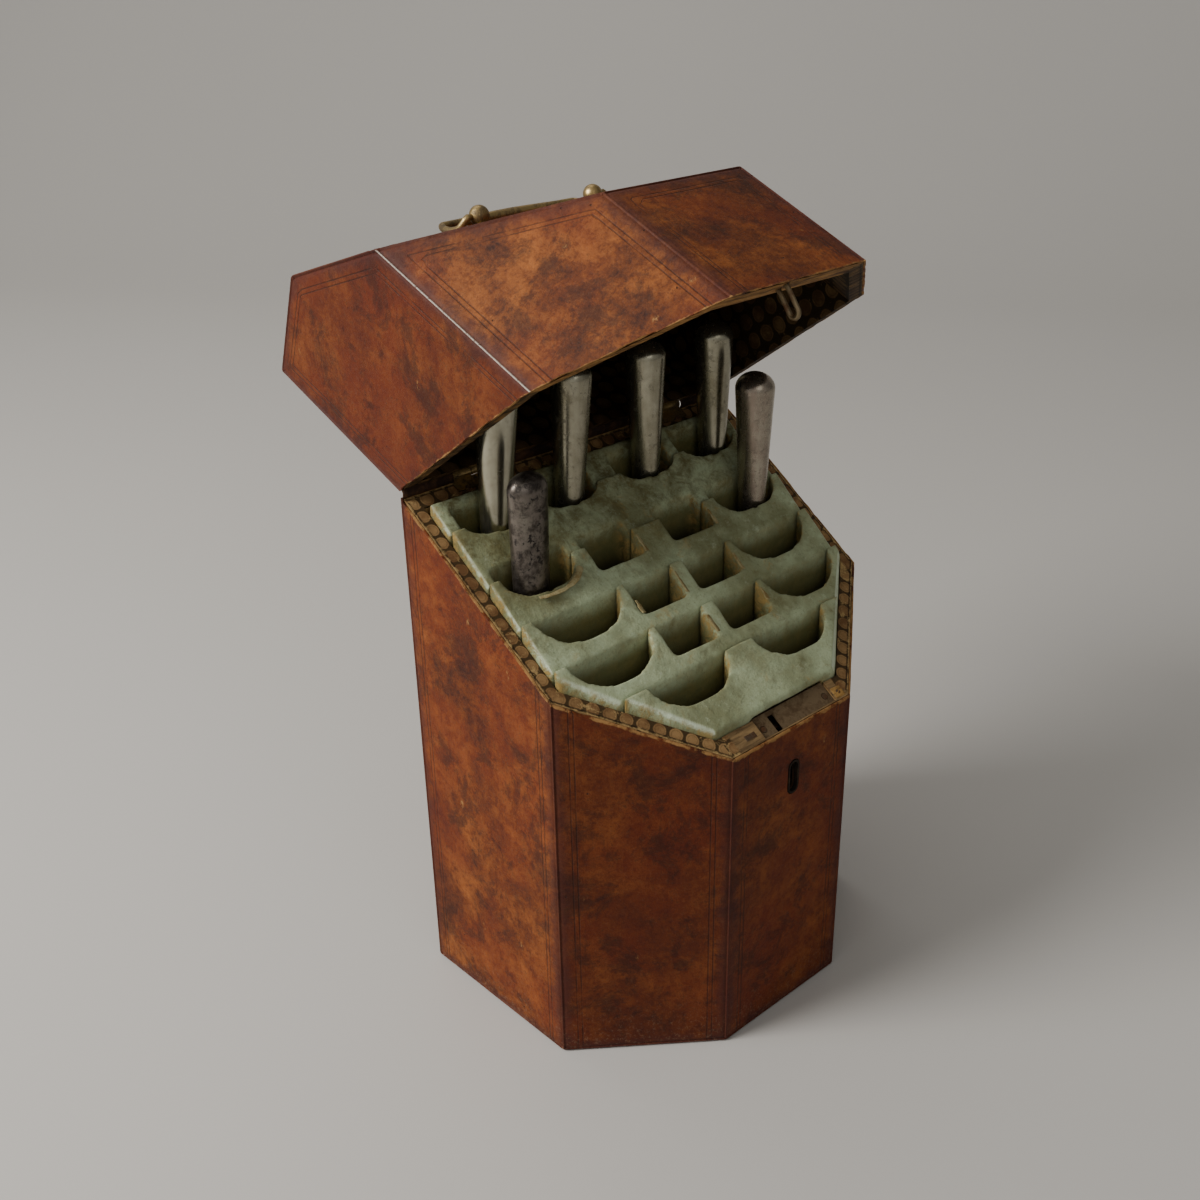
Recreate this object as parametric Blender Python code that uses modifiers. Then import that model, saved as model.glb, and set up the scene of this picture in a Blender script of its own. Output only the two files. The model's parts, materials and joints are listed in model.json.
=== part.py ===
# A cutlery case of leather-covered boards with canted front corners and a
# mouth that slopes down to the front. The lid is hinged at the back of the
# mouth, a stepped tray holds the knives upright, and a box lock in the front
# board takes the staple of the lid.
# Metres, +Z up, +X right, the front faces -Y. The origin is the middle of the
# underside. The lid is modelled closed, then turned open about its hinge pin.

import math

import bmesh
import bpy
from mathutils import Matrix, Vector

mm = 0.001
degrees = math.pi / 180

# Outside of the case over the leather
case_width = 200 * mm
case_depth = 149 * mm
cant_width = 60.5 * mm
cant_depth = 50 * mm
back_height = 257 * mm
front_height = 161 * mm

# Lid: its walls stand this far over the case at the front and the back
lid_front_wall = 77.5 * mm
lid_back_wall = 95.5 * mm
lid_flat_depth = 52 * mm
lid_gap = 0.5 * mm
lid_open_angle = 69.5 * degrees

# Skins and boards
fit_gap = 0.3 * mm
leather = 1.2 * mm
leather_round = 2 * mm
paper = 0.5 * mm
wall_board = 6 * mm
front_board = 9 * mm
base_board = 8 * mm
base_cover = 0.8 * mm
lid_board = 5 * mm
lid_front_board = 8.2 * mm

# Tray: its seams as shares of its depth, and heights over the mouth
tray_back_gap = 2.6 * mm
seam_shares = [0.882, 0.685, 0.525, 0.365, 0.205]
row_pitch_share = 0.16
strip_drop = 26 * mm
strip_low = 3.2 * mm
strip_high = 6.8 * mm
back_strip_high = 5 * mm
floor_board = 4 * mm
ledge_width = 6 * mm
ledge_height = 7 * mm

# Pockets: centres and widths as shares of half the tray's width, and how far
# they reach before and behind their seam as shares of the pitch of the rows
round_width_share = 0.51
square_width_share = 0.293
apart_share = 0.662
inner_apart_share = 0.2
fourth_width_share = 0.529
fourth_apart_share = 0.687
front_width_share = 0.734
front_apart_share = 0.516
reach_share = 0.654
second_width_share = 0.434
second_apart_share = 0.716
second_inner_apart_share = 0.25
second_front_share = 0.512
second_back_share = 0.307
first_width_share = 0.369
first_apart_share = 0.727
first_inner_apart_share = 0.271
first_front_share = 0.293
first_back_share = 0.512
blade_slot_gap = 3 * mm
blade_slot_width = 3.6 * mm

# Knives: radii as shares of the pitch of the rows, and steps off the middle of
# a pocket as shares of half the tray's width
knife_shift_share = 0.022
handle_top_share = 0.478
handle_foot_share = 0.302
short_handle_foot_share = 0.429
short_handle_flat_share = 0.72
waist_share = 0.35
handle_length = 87 * mm
short_handle_length = 75 * mm
dome_height = 8 * mm
first_lean = 4 * degrees
second_lean = 3 * degrees
blade_length = 150 * mm
blade_width = 21 * mm
blade_thickness = 1.6 * mm
neck_width = 7 * mm
neck_length = 16 * mm
tang_length = 20 * mm
tang_clearance = 0.35 * mm

# Lock: its places along X as shares of the front's width
staple_share = -0.076
key_share = 0.013
lock_left_share = -0.139
lock_right_share = 0.304
selvage_left_share = -0.215
selvage_right_share = 0.392
bolt_length_share = 0.19
key_drop = 26.5 * mm
lock_drop = 39 * mm
lock_case_depth = 14.2 * mm
lock_wall = 1 * mm
lock_front_skin = 0.8 * mm
selvage_thickness = 1.2 * mm
selvage_depth = 9.5 * mm
selvage_recess = 1 * mm
keyhole_width = 5 * mm
keyhole_height = 16 * mm
liner_wall = 1 * mm
staple_wire = 2.2 * mm
staple_width = 7.2 * mm
staple_length = 14.3 * mm
staple_shank = 7 * mm
staple_inset = 6.7 * mm
staple_clearance = 1 * mm
bolt_depth = 8 * mm
bolt_thickness = 4 * mm
bolt_width = 2.1 * mm
bolt_standoff = 0.9 * mm

# Hinges
hinge_spacing_share = 0.55
hinge_length = 34 * mm
hinge_reach = 5.8 * mm
hinge_leaf = 1 * mm
knuckle_radius = 2.2 * mm
pin_radius = 1 * mm
pin_setback = 1.8 * mm

# Small screws
screw_head_radius = 1.5 * mm
screw_head = 0.8 * mm
screw_shank_radius = 0.8 * mm
screw_length = 5 * mm

# Bail handle on the sloping panel of the lid
bail_span = 66.6 * mm
bail_place_share = 0.617
bail_pivot_height = 6 * mm
bail_reach = 22 * mm
bail_flare = 4.5 * mm
bail_wire = 3.4 * mm
bail_swell_share = 1.6
bail_heel = 6 * mm
bail_bow = 3 * mm
bail_end_radius = 1.3 * mm
post_ball_radius = 4.6 * mm
post_neck_radius = 2.3 * mm
post_rose_radius = 6 * mm
post_rose = 1.3 * mm
post_shank_radius = 1.8 * mm
post_bore_depth = 3.2 * mm
post_sink_share = 0.8

# Long enough for any cut to pass right through
overrun = 400 * mm

# What follows from the sizes above
mouth_slope = math.atan2(back_height - front_height, case_depth)
mouth_along = Vector((0, math.cos(mouth_slope), math.sin(mouth_slope)))
mouth_out = Vector((0, -math.sin(mouth_slope), math.cos(mouth_slope)))
mouth_front = Vector((0, -case_depth / 2, front_height))
lid_front_top = front_height + lid_front_wall
lid_top = back_height + lid_back_wall
ridge_y = case_depth / 2 - lid_flat_depth
panel_slope = math.atan2(lid_top - lid_front_top, ridge_y + case_depth / 2)
panel_along = Vector((0, math.cos(panel_slope), math.sin(panel_slope)))
panel_out = Vector((0, -math.sin(panel_slope), math.cos(panel_slope)))
panel_front = Vector((0, -case_depth / 2, lid_front_top))
up = Vector((0, 0, 1))
right = Vector((1, 0, 0))

skin = leather + fit_gap
walls = [wall_board, wall_board, wall_board, front_board, wall_board, wall_board]
lid_walls = [lid_board, lid_board, lid_board, lid_front_board, lid_board, lid_board]
case_names = ["back_board", "left_board", "left_cant_board",
              "front_board", "right_cant_board", "right_board"]
lid_names = ["lid_back_board", "lid_left_board", "lid_left_cant_board",
             "lid_front_board", "lid_right_cant_board", "lid_right_board"]

hinge_point = Vector((0, case_depth / 2, back_height)) + mouth_out * lid_gap / 2
hinge_point += mouth_along * pin_setback

front_width = case_width - 2 * cant_width
staple_x = front_width * staple_share
key_x = front_width * key_share
lock_left = front_width * lock_left_share
lock_right = front_width * lock_right_share
selvage_left = front_width * selvage_left_share
selvage_right = front_width * selvage_right_share
bolt_length = front_width * bolt_length_share
key_height = front_height - key_drop
lock_bottom = front_height - lock_drop
hinge_spacing = case_width * hinge_spacing_share
panel_length = (ridge_y + case_depth / 2) / math.cos(panel_slope)
bail_up_slope = panel_length * bail_place_share

tray_half = case_width / 2 - skin - wall_board - fit_gap
tray_front = case_depth / 2 - skin - front_board - fit_gap
tray_back = case_depth / 2 - skin - wall_board - tray_back_gap
tray_depth = tray_front + tray_back
seams = [tray_depth * share - tray_front for share in seam_shares]
row_pitch = tray_depth * row_pitch_share
first_front = row_pitch * first_front_share
first_back = row_pitch * first_back_share
second_front = row_pitch * second_front_share
second_back = row_pitch * second_back_share
pocket_front = row_pitch * reach_share
handle_top_radius = row_pitch * handle_top_share
handle_foot_radius = row_pitch * handle_foot_share
short_handle_foot_radius = row_pitch * short_handle_foot_share


def mouth_height(y):
    return front_height + (y + case_depth / 2) * math.tan(mouth_slope)


# Collections, materials and objects

def clear_scene():
    for item in list(bpy.data.objects):
        bpy.data.objects.remove(item, do_unlink=True)


def new_collection(name):
    collection = bpy.data.collections.new(name)
    bpy.context.scene.collection.children.link(collection)
    return collection


def material(name, colour, roughness, metallic):
    found = bpy.data.materials.new(name)
    found.use_nodes = True
    shader = found.node_tree.nodes["Principled BSDF"]
    shader.inputs["Base Color"].default_value = (*colour, 1)
    shader.inputs["Roughness"].default_value = roughness
    shader.inputs["Metallic"].default_value = metallic
    return found


def add_object(name, mesh, surface, parent=None, origin=Vector()):
    # A mesh drawn in place is moved so that its object's origin is at origin.
    piece = bpy.data.objects.new(name, mesh)
    mesh.transform(Matrix.Translation(-origin))
    piece.data.materials.append(surface)
    parts.objects.link(piece)
    if parent is None:
        piece.location = origin
    else:
        piece.parent = parent
        piece.location = origin - parent_origin[parent.name]
    return piece


def from_bmesh(bm, name, surface, parent=None, origin=Vector()):
    bmesh.ops.recalc_face_normals(bm, faces=bm.faces)
    mesh = bpy.data.meshes.new(name)
    bm.to_mesh(mesh)
    bm.free()
    return add_object(name, mesh, surface, parent, origin)


def add_axis(name, place, parent=None):
    axis = bpy.data.objects.new(name, None)
    parts.objects.link(axis)
    axis.parent = parent
    axis.location = place - (parent_origin[parent.name] if parent else Vector())
    parent_origin[name] = place
    return axis


def cutter(bm, name, parent=None):
    bmesh.ops.recalc_face_normals(bm, faces=bm.faces)
    mesh = bpy.data.meshes.new(name)
    bm.to_mesh(mesh)
    bm.free()
    tool = bpy.data.objects.new(name, mesh)
    cutters.objects.link(tool)
    if parent is not None:
        mesh.transform(Matrix.Translation(-parent_origin[parent.name]))
        tool.parent = parent
    tool.hide_render = True
    tool.display_type = "WIRE"
    return tool


def boolean(piece, tool, operation="DIFFERENCE"):
    step = piece.modifiers.new(tool.name, "BOOLEAN")
    step.operation = operation
    step.object = tool


def smooth(piece, angle=35 * degrees):
    piece.data.shade_smooth()
    piece.data.set_sharp_from_angle(angle=angle)


# Outlines and blocks

def inset_outline(points, insets):
    # Each side of a convex outline, drawn anticlockwise, moves in by its inset.
    lines = []
    for index, start in enumerate(points):
        end = points[(index + 1) % len(points)]
        run = (end - start).normalized()
        inward = Vector((-run.y, run.x))
        lines.append((start + inward * insets[index], run))
    corners = []
    for index, (point, run) in enumerate(lines):
        before, before_run = lines[index - 1]
        turn = before_run.x * run.y - before_run.y * run.x
        gap = point - before
        along = (gap.x * run.y - gap.y * run.x) / turn
        corners.append(before + before_run * along)
    return corners


def plan(insets):
    half = case_width / 2
    back = case_depth / 2
    cant_y = cant_depth - back
    points = [Vector((half, back)), Vector((-half, back)), Vector((-half, cant_y)),
              Vector((cant_width - half, -back)), Vector((half - cant_width, -back)),
              Vector((half, cant_y))]
    if not isinstance(insets, list):
        insets = [insets] * len(points)
    return inset_outline(points, insets)


def box_outline(left, near, width, depth):
    return [Vector((left, near)), Vector((left + width, near)),
            Vector((left + width, near + depth)), Vector((left, near + depth))]


def column(outline, low=-overrun, high=overrun, bm=None):
    bm = bm or bmesh.new()
    corners = [bm.verts.new((point.x, point.y, low)) for point in outline]
    face = bm.faces.new(corners)
    raised = bmesh.ops.extrude_face_region(bm, geom=[face])["geom"]
    moved = [item for item in raised if isinstance(item, bmesh.types.BMVert)]
    bmesh.ops.translate(bm, verts=moved, vec=up * (high - low))
    return bm


def slice_off(bm, point, outward):
    # Takes away what lies past a plane and closes the cut.
    everything = bm.verts[:] + bm.edges[:] + bm.faces[:]
    bmesh.ops.bisect_plane(bm, geom=everything, plane_co=point, plane_no=outward,
                           clear_outer=True)
    open_edges = [edge for edge in bm.edges if edge.is_boundary]
    bmesh.ops.holes_fill(bm, edges=open_edges)
    return bm


def over_mouth(offset):
    return mouth_front + mouth_out * offset


def under_panel(inset):
    return panel_front - panel_out * inset


def under_top(inset):
    return Vector((0, 0, lid_top - inset))


def lid_block(outline, bottom, roof_inset):
    # A solid of the lid's outer form, with its roof planes moved in.
    bm = column(outline)
    slice_off(bm, over_mouth(bottom), -mouth_out)
    slice_off(bm, under_panel(roof_inset), panel_out)
    slice_off(bm, under_top(roof_inset), up)
    return bm


def round_edges(bm, off_plane, radius):
    # Rounds every edge but those of the open mouth.
    kept = []
    for edge in bm.edges:
        middle = (edge.verts[0].co + edge.verts[1].co) / 2
        if abs((middle - off_plane).dot(mouth_out)) > fit_gap:
            kept.append(edge)
    bmesh.ops.bevel(bm, geom=kept, offset=radius, segments=3, profile=0.5, affect="EDGES")
    return bm


def turned(name, profile, surface, place, direction, parent=None, origin=None, sides=20,
           keep=True):
    # A profile of (radius, height) pairs, from the top down, turned about direction.
    mesh = bpy.data.meshes.new(name)
    bm = bmesh.new()
    line = [bm.verts.new((radius, 0, height)) for radius, height in profile]
    for first, second in zip(line, line[1:]):
        bm.edges.new((first, second))
    bm.to_mesh(mesh)
    bm.free()
    draft = bpy.data.objects.new(name + "_draft", mesh)
    cutters.objects.link(draft)
    screw = draft.modifiers.new("turn", "SCREW")
    screw.steps = sides
    screw.render_steps = sides
    screw.use_merge_vertices = True
    screw.merge_threshold = 0.01 * mm
    graph = bpy.context.evaluated_depsgraph_get()
    solid = bpy.data.meshes.new_from_object(draft.evaluated_get(graph))
    bpy.data.objects.remove(draft, do_unlink=True)
    turn = up.rotation_difference(direction).to_matrix().to_4x4()
    solid.transform(Matrix.Translation(place) @ turn)
    if not keep:
        return solid
    origin = origin or (parent_origin[parent.name] if parent else place)
    piece = add_object(name, solid, surface, parent, origin)
    smooth(piece)
    return piece


def merged(meshes):
    bm = bmesh.new()
    for mesh in meshes:
        bm.from_mesh(mesh)
        bpy.data.meshes.remove(mesh)
    return bm


def rod(place, direction, radius, length, sides=16):
    # A plain round bar from place along direction.
    profile = [(0, length), (radius, length), (radius, 0), (0, 0)]
    return turned("rod", profile, None, place, direction, sides=sides, keep=False)


def tilted_box(centre, size):
    # A box squared to the mouth: size along X, up the mouth, and out of it.
    bm = bmesh.new()
    bmesh.ops.create_cube(bm, size=1)
    bmesh.ops.scale(bm, vec=size, verts=bm.verts)
    bmesh.ops.rotate(bm, matrix=Matrix.Rotation(mouth_slope, 3, "X"), verts=bm.verts)
    bmesh.ops.translate(bm, vec=centre, verts=bm.verts)
    return bm


def square_box(low, high):
    return column(box_outline(low.x, low.y, high.x - low.x, high.y - low.y), low.z, high.z)


# Case boards, leather and papers

def wall_quads(thicknesses):
    outer = plan(skin)
    inner = inset_outline(outer, thicknesses)
    for index in range(len(outer)):
        after = (index + 1) % len(outer)
        quad = [outer[index], outer[after], inner[after], inner[index]]
        yield inset_outline(quad, [0, fit_gap / 2, 0, fit_gap / 2])


def build_case(wood, hide, disc_paper, baize):
    base_top = base_cover + fit_gap + base_board
    boards = {}
    for name, quad in zip(case_names, wall_quads(walls)):
        bm = column(quad, base_top + fit_gap)
        slice_off(bm, over_mouth(-paper - fit_gap), mouth_out)
        boards[name] = from_bmesh(bm, name, wood)
    from_bmesh(column(plan(skin), base_cover + fit_gap, base_top), "base_board", wood)
    from_bmesh(column(plan(skin + leather_round), 0, base_cover), "base_cover", baize)

    outer = slice_off(column(plan(0), 0), over_mouth(0), mouth_out)
    shell = from_bmesh(round_edges(outer, over_mouth(0), leather_round), "case_leather", hide)
    smooth(shell)
    boolean(shell, cutter(column(plan(leather)), "leather_inside"))
    boards["case_leather"] = shell

    rim = slice_off(column(plan(skin)), over_mouth(0), mouth_out)
    slice_off(rim, over_mouth(-paper), -mouth_out)
    rim_paper = from_bmesh(rim, "rim_paper", disc_paper)
    boolean(rim_paper, cutter(column(inset_outline(plan(skin), walls)), "rim_inside"))
    boards["rim_paper"] = rim_paper
    return boards


# Tray

def tray_plan():
    inner = inset_outline(plan(skin), walls)
    return inset_outline(inner, [tray_back_gap] + [fit_gap] * (len(inner) - 1))


def tray_half_at(y):
    # Half of the tray's width, which falls off along its canted corners.
    outline = tray_plan()
    front, corner = outline[4], outline[5]
    along_share = max(0, (corner.y - y) / (corner.y - front.y))
    return corner.x + (front.x - corner.x) * along_share


def pocket_outline(centre, seam, width, front, back, round_front):
    half = width / 2
    if not round_front:
        return box_outline(centre - half, seam - front, width, front + back)
    points = [Vector((centre + half, seam + back)), Vector((centre - half, seam + back))]
    steps = 12
    for step in range(steps + 1):
        angle = math.pi * (1 + step / steps)
        across = math.cos(angle)
        down = math.sin(angle)
        full_share = 0.86
        sweep = math.copysign(abs(across) ** full_share, across)
        points.append(Vector((centre + half * sweep, seam + front * down)))
    return points if back > 0 else points[2:]


def pockets():
    # Row from the back, centre, width, front, back, and whether the front is round.
    square_width = tray_half * square_width_share
    fourth_half = tray_half_at(standing_line(3))
    front_half = tray_half_at(standing_line(4))
    table = []
    for side in (-1, 1):
        for share in (first_apart_share, first_inner_apart_share):
            table.append((0, side * tray_half * share, tray_half * first_width_share,
                          first_front, first_back, True))
        table.append((1, side * tray_half * second_apart_share,
                      tray_half * second_width_share, second_front, second_back, True))
        table.append((1, side * tray_half * second_inner_apart_share, square_width,
                      second_front, second_back, False))
        table.append((2, side * tray_half * apart_share, tray_half * round_width_share,
                      pocket_front, 0, True))
        table.append((3, side * fourth_half * fourth_apart_share,
                      fourth_half * fourth_width_share, pocket_front, 0, True))
        for row in (2, 3):
            table.append((row, side * tray_half * inner_apart_share, square_width,
                          pocket_front, 0, False))
        table.append((4, side * front_half * front_apart_share,
                      front_half * front_width_share, pocket_front, 0, True))
    return table


def knives():
    # Name, row, place along X, lean, and whether it is the short one.
    places = [("knife_1", 0, -first_apart_share, 0, first_lean, False),
              ("knife_2", 0, -first_inner_apart_share, 1, second_lean, False),
              ("knife_3", 0, first_inner_apart_share, 1, 0, False),
              ("knife_4", 0, first_apart_share, 3, 0, False),
              ("knife_5", 1, -second_apart_share, -2, 0, True),
              ("knife_6", 1, second_apart_share, 3, 0, False)]
    return [(name, row, tray_half * (share + steps * knife_shift_share), lean, short)
            for name, row, share, steps, lean, short in places]


def standing_line(row):
    # The middle of a row's pockets along Y, where the knives stand.
    if row == 0:
        return seams[row] + (first_back - first_front) / 2
    if row == 1:
        return seams[row] + (second_back - second_front) / 2
    return seams[row] - pocket_front / 2


def build_tray(sage, wood, lock_void):
    outline = tray_plan()
    holes = bmesh.new()
    slots = bmesh.new()
    taken = {(row, x > 0, abs(x) > tray_half / 2): x for name, row, x, lean, short in knives()}
    slot_length = blade_width + 2 * blade_slot_gap
    for row, centre, width, front, back, round_front in pockets():
        column(pocket_outline(centre, seams[row], width, front, back, round_front), bm=holes)
        key = (row, centre > 0, abs(centre) > tray_half / 2)
        slot_x = taken.get(key, centre)
        slot_y = standing_line(row)
        column(box_outline(slot_x - slot_length / 2, slot_y - blade_slot_width / 2,
                           slot_length, blade_slot_width), bm=slots)
    holes = cutter(holes, "pocket_cuts")
    slots = cutter(slots, "blade_slot_cuts")

    fronts = seams + [-tray_front]
    backs = [tray_back] + seams
    for number, (near, far) in enumerate(zip(fronts, backs), 1):
        high = back_strip_high if number == 1 else strip_high
        bm = column(outline)
        if number < len(fronts):
            slice_off(bm, Vector((0, near + fit_gap / 2, 0)), Vector((0, -1, 0)))
        if number > 1:
            slice_off(bm, Vector((0, far - fit_gap / 2, 0)), Vector((0, 1, 0)))
        low_point = Vector((0, near, mouth_height(near) + strip_low))
        high_point = Vector((0, far, mouth_height(far) + high))
        slice_off(bm, low_point, (high_point - low_point).cross(right) * -1)
        slice_off(bm, mouth_front - up * strip_drop, -mouth_out)
        strip = from_bmesh(bm, "tray_strip_%d" % number, sage)
        boolean(strip, holes)
        if number == len(fronts):
            boolean(strip, lock_void)

    floor_top = mouth_front - up * (strip_drop + fit_gap)
    bm = slice_off(column(outline), floor_top, mouth_out)
    slice_off(bm, floor_top - up * floor_board, -mouth_out)
    floor = from_bmesh(bm, "tray_floor", sage)
    boolean(floor, slots)
    boolean(floor, lock_void)

    ledge_top = floor_top - up * (floor_board + fit_gap)
    long_side = outline[1].y - outline[2].y
    for name, left in (("tray_ledge_left", outline[1].x),
                       ("tray_ledge_right", outline[0].x - ledge_width)):
        bm = column(box_outline(left, outline[2].y, ledge_width, long_side))
        slice_off(bm, ledge_top, mouth_out)
        slice_off(bm, ledge_top - up * ledge_height, -mouth_out)
        from_bmesh(bm, name, wood)


# Knives

def knife_foot(row, lean, reach):
    # The foot is flat, so it stands on the sloping floor with its back edge.
    floor_height = mouth_height(standing_line(row) + reach) - strip_drop
    return floor_height + reach * math.sin(lean)


def handle_profile(length, foot_radius):
    # From the domed end down to the foot.
    profile = [(0, length)]
    steps = 5
    for step in range(1, steps + 1):
        angle = math.pi / 2 * step / steps
        profile.append((handle_top_radius * math.sin(angle),
                        length - dome_height * (1 - math.cos(angle))))
    waist = length * waist_share
    middle = (foot_radius * (1 + waist_share) + handle_top_radius * (1 - waist_share)) / 2
    profile.append((middle, waist))
    profile.append((foot_radius, 0))
    profile.append((0, 0))
    return profile


def blade_outline():
    # Half widths down the blade, as shares of its width and length.
    tip_share = [(0.5, 0.2), (0.5, 0.8), (0.42, 0.92), (0.22, 0.985), (0, 1)]
    half_neck = neck_width / 2
    side = [Vector((half_neck, tang_length)), Vector((half_neck, -neck_length))]
    side += [Vector((blade_width * wide, -blade_length * down)) for wide, down in tip_share]
    mirrored = [Vector((-point.x, point.y)) for point in reversed(side[:-1])]
    return side + mirrored


def flat_solid(name, outline, thickness, surface, axis):
    # A filled outline in the axis's own XZ plane, made a closed mesh.
    curve = bpy.data.curves.new(name, "CURVE")
    curve.dimensions = "2D"
    curve.fill_mode = "BOTH"
    curve.extrude = thickness / 2
    line = curve.splines.new("POLY")
    line.points.add(len(outline) - 1)
    for point, place in zip(line.points, outline):
        point.co = (place.x, place.y, 0, 1)
    line.use_cyclic_u = True
    draft = bpy.data.objects.new(name + "_draft", curve)
    cutters.objects.link(draft)
    graph = bpy.context.evaluated_depsgraph_get()
    mesh = bpy.data.meshes.new_from_object(draft.evaluated_get(graph))
    bpy.data.objects.remove(draft, do_unlink=True)
    bm = bmesh.new()
    bm.from_mesh(mesh)
    bpy.data.meshes.remove(mesh)
    bmesh.ops.remove_doubles(bm, verts=bm.verts, dist=0.01 * mm)
    bmesh.ops.rotate(bm, matrix=Matrix.Rotation(math.pi / 2, 3, "X"), verts=bm.verts)
    bmesh.ops.translate(bm, vec=parent_origin[axis.name], verts=bm.verts)
    return from_bmesh(bm, name, surface, axis, parent_origin[axis.name])


def build_knives(silver, tarnished, steel):
    for name, row, x, lean, short in knives():
        length = short_handle_length if short else handle_length
        foot_radius = short_handle_foot_radius if short else handle_foot_radius
        reach = foot_radius * (short_handle_flat_share if short else 1)
        foot = Vector((x, standing_line(row), knife_foot(row, lean, reach)))
        axis = add_axis(name + "_axis", foot)
        axis.rotation_euler.y = lean
        handle = turned(name + "_handle", handle_profile(length, foot_radius),
                        tarnished if short else silver, foot, up, axis)
        if short:
            handle.data.transform(Matrix.Diagonal((1, short_handle_flat_share, 1, 1)))
        tang = square_box(
            foot - Vector((neck_width / 2 + tang_clearance,
                           blade_thickness / 2 + tang_clearance, overrun)),
            foot + Vector((neck_width / 2 + tang_clearance,
                           blade_thickness / 2 + tang_clearance,
                           tang_length + tang_clearance)))
        boolean(handle, cutter(tang, name + "_tang_cut", axis))
        flat_solid(name + "_blade", blade_outline(), blade_thickness, steel, axis)


# Lock, keyhole and staple

def lock_front():
    return skin + lock_front_skin - case_depth / 2


def rim_point(x, inset, depth):
    # A place at the front of the mouth, so far in from the outside and down.
    return right * x + mouth_front + mouth_along * inset - mouth_out * depth


def lock_cuts():
    near = lock_front() - fit_gap
    far = near + lock_case_depth + 2 * fit_gap
    wide = lock_right - lock_left + 2 * fit_gap
    mortise = column(box_outline(lock_left - fit_gap, near, wide, far - near),
                     lock_bottom - fit_gap)
    void = column(box_outline(selvage_left - fit_gap, near,
                              selvage_right - selvage_left + 2 * fit_gap, far - near),
                  lock_bottom - fit_gap)
    slice_off(void, over_mouth(-selvage_recess / 2), mouth_out)
    recess = column(box_outline(selvage_left - fit_gap, near,
                                selvage_right - selvage_left + 2 * fit_gap,
                                selvage_depth + 2 * fit_gap))
    depth = selvage_recess + selvage_thickness + fit_gap
    slice_off(recess, over_mouth(-depth), -mouth_out)
    return (cutter(mortise, "lock_mortise"), cutter(void, "lock_clearance"),
            cutter(recess, "selvage_recess"))


def stadium(x, z, width, height, near, far):
    # An upright slot with round ends, run along Y.
    radius = width / 2
    reach = height / 2 - radius
    outline = []
    steps = 8
    for end in (1, -1):
        for step in range(steps + 1):
            angle = math.pi * step / steps + (0 if end > 0 else math.pi)
            outline.append(Vector((x + radius * math.cos(angle),
                                   end * reach + radius * math.sin(angle))))
    bm = column(outline, -far, -near)
    bmesh.ops.rotate(bm, matrix=Matrix.Rotation(math.pi / 2, 3, "X"), verts=bm.verts)
    bmesh.ops.translate(bm, vec=up * z, verts=bm.verts)
    return bm


def screw_profile():
    return [(0, 0), (screw_head_radius, 0), (screw_head_radius, -screw_head),
            (screw_shank_radius, -screw_head), (screw_shank_radius, -screw_length),
            (0, -screw_length)]


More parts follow.
